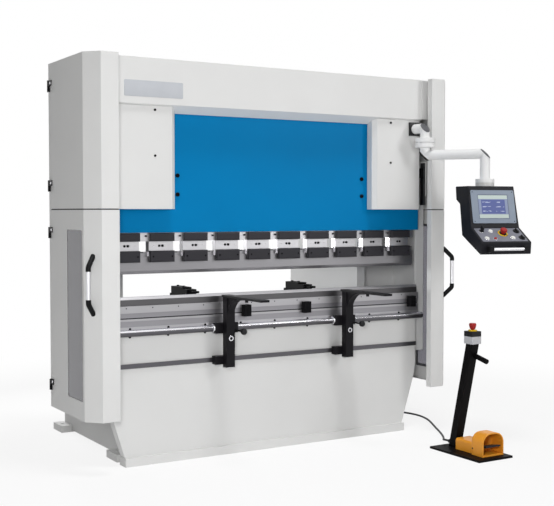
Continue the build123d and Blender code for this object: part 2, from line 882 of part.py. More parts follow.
# A folded door with its moving hinge halves, drawn for the right side
def door(low, high, hinge_places):
    outline = ((door_x, door_rear), (door_x, door_bevel_y), (door_bevel_x, door_front),
               (door_inner, door_front), (door_inner, door_return_y))
    with BuildPart() as panel:
        with BuildSketch(Plane.XY.offset(low)):
            with BuildLine():
                Polyline(*outline)
                offset(amount=sheet, side=Side.RIGHT)
            make_face()
        extrude(amount=high - low)
        with BuildSketch(Plane.XY.offset(low), Plane.XY.offset(high - sheet)):
            with BuildLine():
                Polyline(*outline)
                offset(amount=flange, side=Side.RIGHT)
            make_face()
        extrude(amount=sheet)
        for hinge_z in hinge_places:
            block(door_x, door_x + hinge_leaf, hinge_moving_front, hinge_moving_rear, hinge_z,
                  hinge_z + hinge_half)
            bar_up(hinge_x, hinge_y, hinge_z, hinge_z + hinge_half, hinge_radius)
            bar_up(hinge_x, hinge_y, hinge_z - over, hinge_z + hinge_pin + gap, hinge_pin_radius + run_fit,
                   Mode.SUBTRACT)
    return panel


save_pair(door(door_upper_low, door_upper_high, hinge_upper_places), "door_upper")

# Lower door with a window opening, its pane and its handle
window_y = (window_front + window_rear) / 2
window_z = (window_low + window_high) / 2
plain_door = door(door_lower_low, door_lower_high, hinge_lower_places)
with BuildPart() as door_lower:
    add(plain_door.part)
    with BuildSketch(Plane.YZ.offset(door_x - sheet - over)):
        with Locations((window_y, window_z)):
            RectangleRounded(window_rear - window_front, window_high - window_low, window_round)
    extrude(amount=2 * over + sheet, mode=Mode.SUBTRACT)
save_pair(door_lower, "door_lower")

with BuildPart() as window:
    block(door_x - sheet - pane, door_x - sheet, window_front - pane_lap + over, window_rear + pane_lap,
          window_low - pane_lap, window_high + pane_lap)
save_pair(window, "window")

facet_x = door_x - door_bevel_x
facet_y = door_bevel_y - door_front
facet_out = (facet_y / hypot(facet_x, facet_y), -facet_x / hypot(facet_x, facet_y), 0)
facet_side = (facet_out[1], -facet_out[0], 0)
handle_origin = ((door_x + door_bevel_x) / 2, (door_bevel_y + door_front) / 2,
                 (handle_low + handle_high) / 2)
handle_half = (handle_high - handle_low) / 2 - hypot(handle_end_radius, handle_end_radius)
handle_bow = handle_half - handle_reach
handle_plane = Plane(origin=handle_origin, x_dir=facet_out, z_dir=facet_side)
with BuildPart() as handle:
    for sign in (-1, 1):
        with BuildLine(handle_plane) as end_path:
            FilletPolyline((-over, sign * (handle_half + over)), (handle_reach, sign * handle_bow),
                           (handle_reach, sign * (handle_bow - handle_end)), radius=handle_bend)
        with BuildSketch(Plane(origin=end_path.line @ 0, z_dir=end_path.line % 0)):
            Circle(handle_end_radius)
        sweep(path=end_path.line)
    with Locations(handle_plane.location * Location((handle_reach, 0, 0), (90, 0, 0))):
        Cylinder(handle_radius, 2 * (handle_bow - handle_end) + over)
    with Locations(handle_plane.location * Location((-2 * over, 0, 0))):
        Box(4 * over, handle_high - handle_low + 4 * over, 4 * handle_end_radius, mode=Mode.SUBTRACT)
save_pair(handle, "handle")

# Electrical cabinet behind the right side housing
with BuildPart() as cabinet:
    block(frame_outer, cabinet_outer, cabinet_front, cabinet_rear, cabinet_low, cabinet_high)
    block(frame_outer + sheet, cabinet_outer - sheet, cabinet_front + sheet, cabinet_rear - sheet,
          cabinet_low + sheet, cabinet_high - sheet, Mode.SUBTRACT)
    bar_up((frame_outer + cabinet_outer) / 2, (cabinet_front + cabinet_rear) / 2, cabinet_low - over,
           cabinet_low + sheet + over, cabinet_hole_radius, Mode.SUBTRACT)
    block(cabinet_outer, cabinet_outer + cabinet_panel, cabinet_front + cabinet_margin,
          cabinet_rear - cabinet_margin,
          cabinet_low + cabinet_margin, cabinet_high - cabinet_margin)
save(cabinet, "cabinet")

# Scale frames standing on the bed's ends
with BuildPart() as scale_frames:
    block(scale_strip_inner, scale_strip_outer, scale_strip_front, scale_strip_rear, scale_strip_low,
          scale_strip_high)
    block(scale_strip_inner - scale_plate, scale_strip_inner, scale_plate_front, scale_strip_rear,
          scale_plate_low, scale_strip_high)
    for lug_z in scale_lug_places:
        block(bed_half, scale_strip_inner, scale_strip_front, scale_strip_rear,
              lug_z - scale_lug_half, lug_z + scale_lug_half)
    mirror(about=Plane.YZ)
save(scale_frames, "scale_frames")

scale_outer = scale_strip_inner - scale_plate
scale_inner = scale_outer - scale_depth
with BuildPart() as linear_scales:
    block(scale_inner, scale_outer, scale_plate_front, scale_plate_front + scale_width, scale_low,
          scale_high)
    mirror(about=Plane.YZ)
save(linear_scales, "linear_scales")

with BuildPart() as scale_readers:
    block(reader_inner, scale_inner - gap, scale_plate_front, scale_plate_front + scale_width, reader_low,
          reader_high)
    block(reader_inner, reader_inner + reader_bar, scale_plate_front + scale_width, bed_front,
          reader_bar_low, reader_high)
    mirror(about=Plane.YZ)
save(scale_readers, "scale_readers")

# Back-gauge rails on the inner faces of the side plates
with BuildPart() as gauge_rails:
    block(frame_inner - gauge_rail, frame_inner, gauge_rail_front, gauge_rail_rear, gauge_rail_low,
          gauge_rail_high)
    mirror(about=Plane.YZ)
save(gauge_rails, "gauge_rails")

# Screw bearings and motor of the back gauge
with BuildPart() as gauge_motor:
    block(-gauge_bearing_half, gauge_bearing_half, bed_back, bed_back + gauge_bearing_depth,
          gauge_screw_z - gauge_bearing_half, gauge_screw_z + gauge_bearing_half)
    block(-gauge_motor_half, gauge_motor_half, rear_tie_rear, rear_tie_rear + gauge_motor_length,
          gauge_screw_z - gauge_motor_half, gauge_screw_z + gauge_motor_half)
    bar_deep(0, gauge_screw_z, gauge_screw_front - gap, gauge_screw_rear + gap,
             gauge_screw_radius + run_fit, Mode.SUBTRACT)
save(gauge_motor, "gauge_motor")

with BuildPart() as gauge_screw:
    bar_deep(0, gauge_screw_z, gauge_screw_front, gauge_screw_rear, gauge_screw_radius)
save(gauge_screw, "gauge_screw")

# Cross beam with end shoes on the rails and a nut on the screw
with BuildPart() as gauge_beam:
    block(-gauge_beam_half, gauge_beam_half, gauge_beam_front, gauge_beam_rear, gauge_beam_low,
          gauge_beam_high)
    for side, sign in sides:
        block(sign * gauge_beam_half, sign * gauge_shoe_outer, gauge_beam_front, gauge_beam_rear,
              gauge_beam_low, gauge_beam_high)
        block(sign * (frame_inner - gauge_rail - gap), sign * frame_inner, gauge_beam_front - over,
              gauge_beam_rear + over, gauge_rail_low - gap, gauge_rail_high + gap, Mode.SUBTRACT)
    block(-gauge_nut_half, gauge_nut_half, gauge_beam_front, gauge_beam_rear, gauge_nut_low, gauge_beam_low)
    bar_deep(0, gauge_screw_z, gauge_beam_front - over, gauge_beam_rear + over,
             gauge_screw_radius + run_fit, Mode.SUBTRACT)
save(gauge_beam, "gauge_beam")

# Stop fingers on columns that hook over the beam
for side, finger_x in finger_places:
    with BuildPart() as finger:
        block(finger_x - finger_half, finger_x + finger_half, finger_block_front, finger_block_rear,
              finger_block_low, finger_block_high)
        block(finger_x - finger_half, finger_x + finger_half, finger_step, finger_block_front,
              finger_step_low, finger_step_high)
        block(finger_x - finger_tip_half, finger_x + finger_tip_half, finger_tip, finger_step,
              finger_tip_low, finger_tip_high)
        block(finger_x - finger_post_half, finger_x + finger_post_half, gauge_beam_front - gap - finger_lip,
              gauge_beam_rear, gauge_beam_high + gap, finger_block_low)
        block(finger_x - finger_post_half, finger_x + finger_post_half, gauge_beam_front - gap - finger_lip,
              gauge_beam_front - gap, gauge_beam_high - finger_lip_drop, gauge_beam_high + gap)
    save(finger, f"finger_{side}")

# Front supports: carriage on the rod, column, table and a shoe on the lower rail
for side, arm_x in arm_places:
    with BuildPart() as support_arm:
        block(arm_x - arm_half, arm_x + arm_half, arm_column_front, arm_column_rear, arm_column_low,
              arm_top_low)
        block(arm_x - arm_half, arm_x + arm_half, arm_top_front, arm_top_rear, arm_top_low,
              arm_top_low + arm_top)
        block(arm_x - arm_half - arm_end_lap, arm_x + arm_half + arm_end_lap,
              arm_column_front - arm_end_lap,
              arm_column_rear + arm_end_lap, arm_column_low - arm_end_plate, arm_column_low)
        block(arm_x - arm_carriage_half, arm_x + arm_carriage_half, arm_column_rear, arm_carriage_rear,
              arm_carriage_low, arm_carriage_high)
        block(arm_x - arm_carriage_half, arm_x, arm_column_rear, bed_front - lower_rail_depth - gap,
              arm_shoe_low, arm_shoe_high)
        with BuildSketch(Plane.YZ.offset(arm_x - arm_gusset_half)):
            with BuildLine():
                ThreePointArc((arm_column_front, arm_gusset_low), (arm_gusset_curve_y, arm_gusset_curve_z),
                              (arm_gusset_front, arm_top_low))
                Polyline((arm_gusset_front, arm_top_low), (arm_column_front, arm_top_low),
                         (arm_column_front, arm_gusset_low))
            make_face()
        extrude(amount=2 * arm_gusset_half)
        bar_deep(arm_x, arm_ring_z, arm_column_front - arm_ring, arm_column_front, arm_ring_radius)
        bar_deep(arm_x, arm_ring_z, arm_column_front - arm_ring - over, arm_column_front, arm_ring_hole,
                 Mode.SUBTRACT)
        bar_up(arm_x, arm_stop_y, arm_top_low - arm_stop, arm_top_low, arm_stop_radius)
        bar_wide(rod_y, rail_rod_z, arm_x - arm_carriage_half - over, arm_x + arm_carriage_half + over,
                 rail_rod_radius + slide_fit, Mode.SUBTRACT)
        bar_deep(arm_x + knob_x, knob_z, arm_column_rear - over, arm_column_rear + knob_hole,
                 knob_stem_radius + run_fit, Mode.SUBTRACT)
    save(support_arm, f"support_arm_{side}")
    with BuildPart() as arm_knob:
        bar_deep(arm_x + knob_x, knob_z, arm_column_rear - knob_ball_ahead, arm_column_rear + knob_insert,
                 knob_stem_radius)
        with Locations((arm_x + knob_x, arm_column_rear - knob_ball_ahead, knob_z)):
            Sphere(knob_ball_radius)
    save(arm_knob, f"arm_knob_{side}")


# Flat cut across the outer corner of a pipe elbow, square to the direction given
def mitre(corner, direction):
    outward = Vector(*direction).normalized()
    with Locations(Plane(origin=Vector(*corner) + outward * pipe_radius * mitre_share,
                         z_dir=outward).location):
        Box(4 * pipe_radius, 4 * pipe_radius, 4 * pipe_radius,
            align=(Align.CENTER, Align.CENTER, Align.MIN), mode=Mode.SUBTRACT)


# Fixed bracket of the pendant arm on the right cylinder cover
with BuildPart() as arm_bracket:
    block(bracket_x - bracket_half, bracket_x + bracket_half, cover_front - bracket_plate, cover_front,
          bracket_z - bracket_half, bracket_z + bracket_half)
    bar_deep(bracket_x, bracket_z, pivot_y - pipe_radius, cover_front - bracket_plate, pipe_radius)
    bar_up(bracket_x, pivot_y, pivot_split, bracket_z + pipe_radius, pipe_radius)
    mitre((bracket_x, pivot_y, bracket_z), (0, -1, 1))
    bar_up(bracket_x, pivot_y, pivot_split, pivot_ring_high, pivot_ring_radius)
    bar_up(bracket_x, pivot_y, pivot_split - pivot_pin, pivot_split, pivot_pin_radius)
save(arm_bracket, "arm_bracket")

# Swivel arm between the two pivots
arm_length = hypot(hang_x - bracket_x, hang_y - pivot_y)
arm_along = ((hang_x - bracket_x) / arm_length, (hang_y - pivot_y) / arm_length, 0)
arm_middle = ((bracket_x + hang_x) / 2, (pivot_y + hang_y) / 2, arm_z)
with BuildPart() as pendant_arm:
    bar_up(bracket_x, pivot_y, arm_z - pipe_radius, pivot_ring_low, pipe_radius)
    with Locations(Plane(origin=arm_middle, z_dir=arm_along).location):
        Cylinder(pipe_radius, arm_length + 2 * pipe_radius)
    bar_up(hang_x, hang_y, hang_split, arm_z + pipe_radius, pipe_radius)
    mitre((bracket_x, pivot_y, arm_z), (-arm_along[0], -arm_along[1], -1))
    mitre((hang_x, hang_y, arm_z), (arm_along[0], arm_along[1], 1))
    bar_up(bracket_x, pivot_y, pivot_ring_low, pivot_split - gap, pivot_ring_radius)
    bar_up(bracket_x, pivot_y, pivot_split - pivot_pin - gap, pivot_split + over,
           pivot_pin_radius + run_fit, Mode.SUBTRACT)
    bar_up(hang_x, hang_y, hang_split, hang_ring_high, hang_ring_radius)
    bar_up(hang_x, hang_y, hang_split - hang_pin, hang_split, pivot_pin_radius)
save(pendant_arm, "pendant_arm")

# Planes of the pendant's screen, desk and lip, in the pendant's own frame
pendant_place = Location((hang_x, hang_y, 0), (0, 0, pendant_turn))


def face_plane(lower, upper):
    length = hypot(upper[0] - lower[0], upper[1] - lower[1])
    middle = (0, (lower[0] + upper[0]) / 2, (lower[1] + upper[1]) / 2)
    out = (0, -(upper[1] - lower[1]) / length, (upper[0] - lower[0]) / length)
    return Plane(origin=middle, x_dir=(1, 0, 0), z_dir=out), length


lip_plane, lip_length = face_plane(pendant_profile[4], pendant_profile[5])
desk_plane, desk_length = face_plane(pendant_profile[5], pendant_profile[6])
screen_plane, screen_length = face_plane(pendant_profile[6], pendant_profile[7])


# A place on the desk: shares of its width from the left and of its length from the top
def desk_spot(across_share, down_share):
    return desk_plane.location * Location(((across_share - 0.5) * desk_width,
                                           (0.5 - down_share) * desk_length, 0))


def desk_hole(across_share, down_share, radius):
    with Locations(desk_spot(across_share, down_share)):
        Cylinder(radius, 2 * button_depth, mode=Mode.SUBTRACT)


def hang(piece, name):
    with BuildPart() as placed:
        with Locations(pendant_place):
            add(piece.part)
    save(placed, name)


# Pendant housing
pendant_top = pendant_profile[0][1]
pendant_lip = pendant_profile[5][1]
with BuildPart() as pendant:
    with BuildSketch(Plane.YZ):
        with BuildLine():
            Polyline(*pendant_profile, close=True)
        make_face()
    extrude(amount=pendant_half_low, both=True)
    fillet(pendant.edges().filter_by(Axis.X), pendant_round)
    with BuildSketch(Plane.XZ):
        with BuildLine():
            Polyline((pendant_half_top, pendant_top), (pendant_half_low, pendant_lip),
                     (pendant_half_low + over, pendant_lip), (pendant_half_low + over, pendant_top),
                     close=True)
        make_face()
        mirror(about=Plane.YZ)
    extrude(amount=pendant_top, both=True, mode=Mode.SUBTRACT)
    with BuildSketch(Plane.YZ):
        with BuildLine():
            Polyline(*pendant_profile, close=True)
        make_face()
        offset(amount=-pendant_wall, kind=Kind.INTERSECTION)
    extrude(amount=pendant_half_top - pendant_wall, both=True, mode=Mode.SUBTRACT)
    bar_up(0, 0, pendant_top, hang_split - gap, hang_ring_radius)
    bar_up(0, 0, hang_split - hang_pin - gap, hang_split + over, pivot_pin_radius + run_fit, Mode.SUBTRACT)
    with Locations(desk_spot(*stop_share)):
        Cylinder(collar_radius, 2 * collar)
    with Locations(desk_spot(*key_share)):
        Cylinder(key_base_radius, 2 * collar)
    for spot, across_share, down_share in white_spots:
        desk_hole(across_share, down_share, white_radius + gap)
    for spot, across_share, down_share in selector_shares:
        desk_hole(across_share, down_share, selector_radius + gap)
    desk_hole(*red_share, red_radius + gap)
    desk_hole(*stop_share, stop_stem_radius + gap)
    desk_hole(*key_share, key_radius + gap)
hang(pendant, "pendant")

# Screen bezel with a shallow recess for the display
with BuildPart() as screen:
    with BuildSketch(screen_plane):
        RectangleRounded(bezel_width, bezel_height, bezel_round)
    extrude(amount=bezel_depth)
    with BuildSketch(screen_plane.offset(bezel_depth)):
        Rectangle(lcd_width, lcd_height)
    extrude(amount=-lcd_depth, mode=Mode.SUBTRACT)
hang(screen, "screen")

# Handle along the pendant's lip
with BuildPart() as pendant_handle:
    with BuildSketch(lip_plane):
        with Locations((-bar_end_x, 0), (bar_end_x, 0)):
            RectangleRounded(bar_end_width, bar_end_height, bar_end_round)
    extrude(amount=bar_end_reach)
    with Locations(lip_plane.location * Location((0, 0, bar_reach), (0, 90, 0))):
        Cylinder(bar_radius, 2 * bar_end_x)
hang(pendant_handle, "pendant_handle")

# Push buttons sunk in the desk
button_low = button_depth - button_travel - gap


def push_button(across_share, down_share, radius):
    with BuildPart() as button:
        with Locations(desk_spot(across_share, down_share) * Location((0, 0, -button_low))):
            Cylinder(radius, button_low + button_proud, align=(Align.CENTER, Align.CENTER, Align.MIN))
    return button


for spot, across_share, down_share in white_spots:
    hang(push_button(across_share, down_share, white_radius), f"white_button_{spot}")
hang(push_button(*red_share, red_radius), "red_button")

# Emergency stop: stem in the yellow collar and a mushroom head
stop_lift = collar + stop_rise
with BuildPart() as stop_button:
    with Locations(desk_spot(*stop_share) * Location((0, 0, -button_low))):
        Cylinder(stop_stem_radius, button_low + stop_lift, align=(Align.CENTER, Align.CENTER, Align.MIN))
    with Locations(desk_spot(*stop_share) * Location((0, 0, stop_lift))):
        Cylinder(stop_radius, stop_head, align=(Align.CENTER, Align.CENTER, Align.MIN))
    fillet(stop_button.edges().filter_by(GeomType.CIRCLE).sort_by(Axis.Z)[-1], stop_round)
hang(stop_button, "stop_button")

# Selector knobs with a raised grip
for spot, across_share, down_share in selector_shares:
    with BuildPart() as selector:
        with Locations(desk_spot(across_share, down_share) * Location((0, 0, -button_low))):
            Cylinder(selector_radius, button_low + selector_proud,
                     align=(Align.CENTER, Align.CENTER, Align.MIN))
        with Locations(desk_spot(across_share, down_share) * Location((0, 0, selector_proud))):
            Box(selector_grip, 2 * selector_radius - selector_grip, selector_grip_height,
                align=(Align.CENTER, Align.CENTER, Align.MIN))
    hang(selector, f"selector_{spot}")

# Key switch
with BuildPart() as key_switch:
    with Locations(desk_spot(*key_share) * Location((0, 0, -button_low))):
        Cylinder(key_radius, button_low + key_proud, align=(Align.CENTER, Align.CENTER, Align.MIN))
    with Locations(desk_spot(*key_share) * Location((0, 0, key_proud))):
        Box(key_grip, key_grip_width, key_grip_height, align=(Align.CENTER, Align.CENTER, Align.MIN))
hang(key_switch, "key_switch")

# Pedal stand: base plate, leaning post and carrying handle
lean = Vector(0, stand_top_y - stand_foot_y, stand_top - stand_plate)
lean_share = (stand_handle_z - stand_plate) / (stand_top - stand_plate)
lean_way = lean.normalized()
handle_way = Vector(0, -lean_way.Z, lean_way.Y)
handle_root = (stand_handle_x, stand_foot_y + lean_share * lean.Y, stand_handle_z)
with BuildPart() as leaning_post:
    with BuildSketch(Plane.XY.offset(stand_plate)):
        with Locations((stand_x, stand_foot_y)):
            Rectangle(2 * stand_half, 2 * stand_half)
    extrude(amount=lean.length, dir=lean_way)
with BuildPart() as post_room:
    with BuildSketch(Plane.XY.offset(stand_plate)):
        with Locations((stand_x, stand_foot_y)):
            Rectangle(2 * (stand_half - stand_wall), 2 * (stand_half - stand_wall))
    extrude(amount=lean.length, dir=lean_way)
with BuildPart() as pedal_stand:
    add(leaning_post.part)
    with Locations(Plane(origin=handle_root, z_dir=handle_way).location):
        Cylinder(stand_handle_radius, stand_half + stand_handle,
                 align=(Align.CENTER, Align.CENTER, Align.MIN))
    add(post_room.part, mode=Mode.SUBTRACT)
    block(stand_plate_left, stand_plate_right, stand_plate_front, stand_plate_rear, 0, stand_plate)
save(pedal_stand, "pedal_stand")

# Emergency-stop box on the post and its mushroom button
with BuildPart() as estop_box:
    block(stand_x - box_half, stand_x + box_half, stand_top_y - box_half, stand_top_y + box_half,
          stand_top, box_high)
    bar_up(stand_x, stand_top_y, box_high, box_high + box_collar, box_collar_radius)
    bar_up(stand_x, stand_top_y, mushroom_stem_low - button_travel - gap, box_high + box_collar + over,
           mushroom_stem_radius + gap, Mode.SUBTRACT)
save(estop_box, "estop_box")

with BuildPart() as pedal_estop:
    bar_up(stand_x, stand_top_y, mushroom_stem_low, mushroom_low, mushroom_stem_radius)
    with Locations((stand_x, stand_top_y, (mushroom_low + mushroom_mid) / 2)):
        Cone(mushroom_low_radius, mushroom_radius, mushroom_mid - mushroom_low)
    bar_up(stand_x, stand_top_y, mushroom_mid, mushroom_high, mushroom_radius)
    fillet(pedal_estop.edges().filter_by(GeomType.CIRCLE).sort_by(Axis.Z)[-1], mushroom_round)
save(pedal_estop, "pedal_estop")

# Foot switch: hood open to the operator and a rear body
hood_low = stand_plate + switch_floor
with BuildPart() as hood_room:
    with BuildSketch(Plane.XZ.offset(-switch_hood_rear + switch_wall)) as room_outline:
        with Locations((switch_x, (hood_low + switch_high - switch_wall) / 2)):
            Rectangle(2 * (switch_half - switch_wall), switch_high - switch_wall - hood_low)
        fillet(room_outline.vertices().group_by(Axis.Y)[-1], switch_round - switch_wall)
    extrude(amount=switch_hood_rear - switch_front + over)
    room_rim = hood_room.faces().sort_by(Axis.Y)[-1].edges().sort_by(Axis.Z)[1:]
    fillet(room_rim, switch_rear_round - switch_wall)
with BuildPart() as foot_switch:
    with BuildSketch(Plane.XZ.offset(-switch_hood_rear)) as hood_outline:
        with Locations((switch_x, (stand_plate + switch_high) / 2)):
            Rectangle(2 * switch_half, switch_high - stand_plate)
        fillet(hood_outline.vertices().group_by(Axis.Y)[-1], switch_round)
    extrude(amount=switch_hood_rear - switch_front)
    hood_rim = foot_switch.faces().sort_by(Axis.Y)[-1].edges().sort_by(Axis.Z)[1:]
    fillet(hood_rim, switch_rear_round)
    add(hood_room.part, mode=Mode.SUBTRACT)
    with BuildSketch(Plane.XZ.offset(-switch_hood_rear)) as body_outline:
        with Locations((switch_x, (stand_plate + switch_body_high) / 2)):
            Rectangle(2 * switch_body_half, switch_body_high - stand_plate)
        fillet(body_outline.vertices().group_by(Axis.Y)[-1], switch_body_round)
    extrude(amount=switch_hood_rear - switch_rear)
    bar_wide(pedal_axis_y, pedal_axis_z, switch_x - switch_half - over, switch_x + switch_half + over,
             pedal_pin_radius + run_fit, Mode.SUBTRACT)
save(foot_switch, "foot_switch")

# Pedal on a pin through the hood's sides
with BuildPart() as foot_pedal:
    bar_wide(pedal_axis_y, pedal_axis_z, switch_x - switch_half, switch_x + switch_half, pedal_pin_radius)
    with BuildSketch(Plane.YZ.offset(switch_x - pedal_half)):
        with BuildLine():
            Polyline((pedal_axis_y + pedal_pin_radius, pedal_axis_z - pedal_pin_radius),
                     (pedal_front, pedal_tip_low),
                     (pedal_front, pedal_tip_low + pedal_plate),
                     (pedal_axis_y + pedal_pin_radius, pedal_axis_z - pedal_pin_radius + pedal_plate),
                     close=True)
        make_face()
    extrude(amount=2 * pedal_half)
save(foot_pedal, "foot_pedal")

# Cable glands on the right side plate and on the post
with BuildPart() as cable_glands:
    bar_wide(gland_y, gland_z, frame_outer, frame_outer + gland_length, gland_radius)
    bar_wide(gland_y, gland_z, frame_outer, frame_outer + gland_nut, gland_nut_radius)
    bar_deep(stand_x, stand_gland_z, stand_foot_y, stand_gland_end, gland_radius)
    add(leaning_post.part, mode=Mode.SUBTRACT)
save(cable_glands, "cable_glands")

# Cable lying on the floor
cable_points = [Vector(frame_outer + gland_length, gland_y, gland_z)]
cable_points += [Vector(*point) for point in cable_runs]
cable_points += [Vector(stand_x, stand_gland_end, stand_gland_z)]
cable_radii = []
for before, corner, after in zip(cable_points, cable_points[1:], cable_points[2:]):
    run_in = corner - before
    run_out = after - corner
    turn = acos(run_in.normalized().dot(run_out.normalized()))
    cable_radii.append(cable_bend_share * min(run_in.length, run_out.length) / tan(turn / 2))
print("cable radii", [round(radius) for radius in cable_radii])
with BuildPart() as pedal_cable:
    with BuildLine() as cable_path:
        FilletPolyline(*cable_points, radius=cable_radii)
    with BuildSketch(Plane(origin=cable_path.line @ 0, z_dir=cable_path.line % 0)):
        Circle(cable_radius)
    sweep()
cable_length = sum(edge.length for edge in cable_path.edges())
print("cable volume", round(pedal_cable.part.volume), "of", round(pi * cable_radius**2 * cable_length))
save(pedal_cable, "pedal_cable")
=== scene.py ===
import math

import bmesh
import bpy
from mathutils import Matrix, Vector


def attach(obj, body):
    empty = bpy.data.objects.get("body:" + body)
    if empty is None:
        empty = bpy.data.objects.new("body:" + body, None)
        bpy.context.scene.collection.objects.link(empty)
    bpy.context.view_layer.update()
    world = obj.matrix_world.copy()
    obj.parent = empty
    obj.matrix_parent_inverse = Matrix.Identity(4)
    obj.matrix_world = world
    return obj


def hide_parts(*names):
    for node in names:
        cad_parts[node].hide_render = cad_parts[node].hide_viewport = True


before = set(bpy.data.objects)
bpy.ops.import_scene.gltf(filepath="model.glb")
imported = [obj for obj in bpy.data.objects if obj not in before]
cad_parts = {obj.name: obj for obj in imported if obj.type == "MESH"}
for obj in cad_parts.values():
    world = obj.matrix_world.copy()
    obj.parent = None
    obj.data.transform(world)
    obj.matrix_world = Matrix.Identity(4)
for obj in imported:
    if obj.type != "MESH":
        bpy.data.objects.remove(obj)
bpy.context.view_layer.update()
scene = bpy.context.scene
scene.view_settings.view_transform = "Standard"
mm = 0.001  # every size below is in millimetres

# standing place and lens of the photograph
cameraLook = {"place": (-3008.87, -5658.43, 1335.0), "turn": (87.74, 0.0, -31.0), "sensor": 36.0,
              "lens": 67.58}
cameraData = bpy.data.cameras.new("studioCamera")
cameraData.sensor_fit = "HORIZONTAL"
cameraData.sensor_width = cameraLook["sensor"]
cameraData.lens = cameraLook["lens"]
studioCamera = bpy.data.objects.new("studioCamera", cameraData)
studioCamera.location = Vector(cameraLook["place"]) * mm
studioCamera.rotation_euler = [math.radians(angle) for angle in cameraLook["turn"]]
scene.collection.objects.link(studioCamera)
scene.camera = studioCamera

# cable from the right side plate along the floor to the pedal stand
cableLook = {
    "radius": 6.0,
    "length": 1460.0,
    "points": [(880, -60, 90), (925, -60, 90), (985, -64, 66), (1050, -72, 30), (1120, -92, 9),
               (1200, -140, 6.2), (1250, -230, 6.2), (1268, -340, 6.2), (1240, -460, 6.2), (1185, -570, 6.2),
               (1117, -690, 6.2), (1052, -812, 6.2), (985, -925, 6.2), (932, -992, 8), (888, -1040, 20),
               (860, -1084, 32), (860, -1125, 32)],
}
cableCurve = bpy.data.curves.new("pedalCable", "CURVE")
cableCurve.dimensions = "3D"
cableCurve.bevel_depth = 1.0  # times each point's radius
cableCurve.bevel_resolution = 4
cableCurve.resolution_u = 8
cableCurve.use_fill_caps = True
cableRun = cableCurve.splines.new("NURBS")
cableRun.points.add(len(cableLook["points"]) - 1)
for knot, spot in zip(cableRun.points, cableLook["points"]):
    knot.co = (spot[0] * mm, spot[1] * mm, spot[2] * mm, 1.0)
    knot.radius = cableLook["radius"] * mm
cableRun.order_u = 3
cableRun.use_endpoint_u = True
pedalCable = bpy.data.objects.new("pedalCable", cableCurve)
scene.collection.objects.link(pedalCable)
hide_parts("pedal_cable")
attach(pedalCable, "base")
print("camera and cable placed")


# sRGB hex to linear
def linear(code):
    parts = [int(code[i:i + 2], 16) / 255 for i in (0, 2, 4)]
    return tuple(p / 12.92 if p <= 0.04045 else ((p + 0.055) / 1.055) ** 2.4 for p in parts) + (1.0,)


# one shader node with its settings, values and links
def addNode(tree, kind, settings=None, values=None, links=None):
    node = tree.nodes.new(kind)
    for key, value in (settings or {}).items():
        setattr(node, key, value)
    for key, value in (values or {}).items():
        node.inputs[key].default_value = value
    for key, source in (links or {}).items():
        tree.links.new(source, node.inputs[key])
    return node


# a new material with its tree, its shader and the place in the piece's own frame
def startFinish(name):
    finish = bpy.data.materials.new(name)
    finish.use_nodes = True
    tree = finish.node_tree
    place = addNode(tree, "ShaderNodeTexCoord").outputs["Object"]
    return finish, tree, tree.nodes["Principled BSDF"], place


# one on a patch and nought off it: farther than its limit from the centre along the axis, or nearer
def patchMask(tree, place, patch):
    offset = addNode(tree, "ShaderNodeVectorMath", {"operation": "SUBTRACT"},
                     {1: Vector(patch["centre"]) * mm}, {0: place})
    along = addNode(tree, "ShaderNodeVectorMath", {"operation": "DOT_PRODUCT"}, {1: patch["axis"]},
                    {0: offset.outputs["Vector"]}).outputs["Value"]
    if patch.get("bothSides"):
        along = addNode(tree, "ShaderNodeMath", {"operation": "ABSOLUTE"}, {}, {0: along}).outputs["Value"]
    side = "LESS_THAN" if patch.get("inside") else "GREATER_THAN"
    return addNode(tree, "ShaderNodeMath", {"operation": side}, {1: patch["limit"] * mm},
                   {0: along}).outputs["Value"]


# links tone, gloss and relief, with patches of other finishes where a piece is of two materials
def closeFinish(tree, shader, place, look, blend, marks, tone=None):
    if tone is None:
        tone = addNode(tree, "ShaderNodeMix", {"data_type": "RGBA"},
                       {6: linear(look["colour"]), 7: linear(look["shade"])}, {0: blend}).outputs[2]
    smooth, rough = look["roughness"] - look["spread"], look["roughness"] + look["spread"]
    gloss = addNode(tree, "ShaderNodeMapRange", {}, {"To Min": smooth, "To Max": rough},
                    {"Value": marks}).outputs["Result"]
    metal = look.get("metallic", 0.0)
    shader.inputs["Metallic"].default_value = metal
    metalMix = None
    for patch in look.get("patches", []):
        mask = patchMask(tree, place, patch)
        tone = addNode(tree, "ShaderNodeMix", {"data_type": "RGBA"}, {7: linear(patch["colour"])},
                       {0: mask, 6: tone}).outputs[2]
        gloss = addNode(tree, "ShaderNodeMix", {"data_type": "FLOAT"}, {3: patch["roughness"]},
                        {0: mask, 2: gloss}).outputs[0]
        patchMetal = patch.get("metallic", 0.0)
        if metalMix or patchMetal != metal:
            metalLinks = {0: mask, 2: metalMix} if metalMix else {0: mask}
            metalMix = addNode(tree, "ShaderNodeMix", {"data_type": "FLOAT"}, {2: metal, 3: patchMetal},
                               metalLinks).outputs[0]
    tree.links.new(tone, shader.inputs["Base Color"])
    tree.links.new(gloss, shader.inputs["Roughness"])
    if metalMix:
        tree.links.new(metalMix, shader.inputs["Metallic"])
    if "specular" in look:
        shader.inputs["Specular IOR Level"].default_value = look["specular"]
    reliefLinks = {"Height": marks}
    if "edgeMm" in look:  # softened edges catch the light
        rounded = addNode(tree, "ShaderNodeBevel", {"samples": 4}, {"Radius": look["edgeMm"] * mm})
        reliefLinks["Normal"] = rounded.outputs["Normal"]
    relief = addNode(tree, "ShaderNodeBump", {},
                     {"Strength": look["reliefShare"], "Distance": look["reliefMm"] * mm}, reliefLinks)
    tree.links.new(relief.outputs["Normal"], shader.inputs["Normal"])


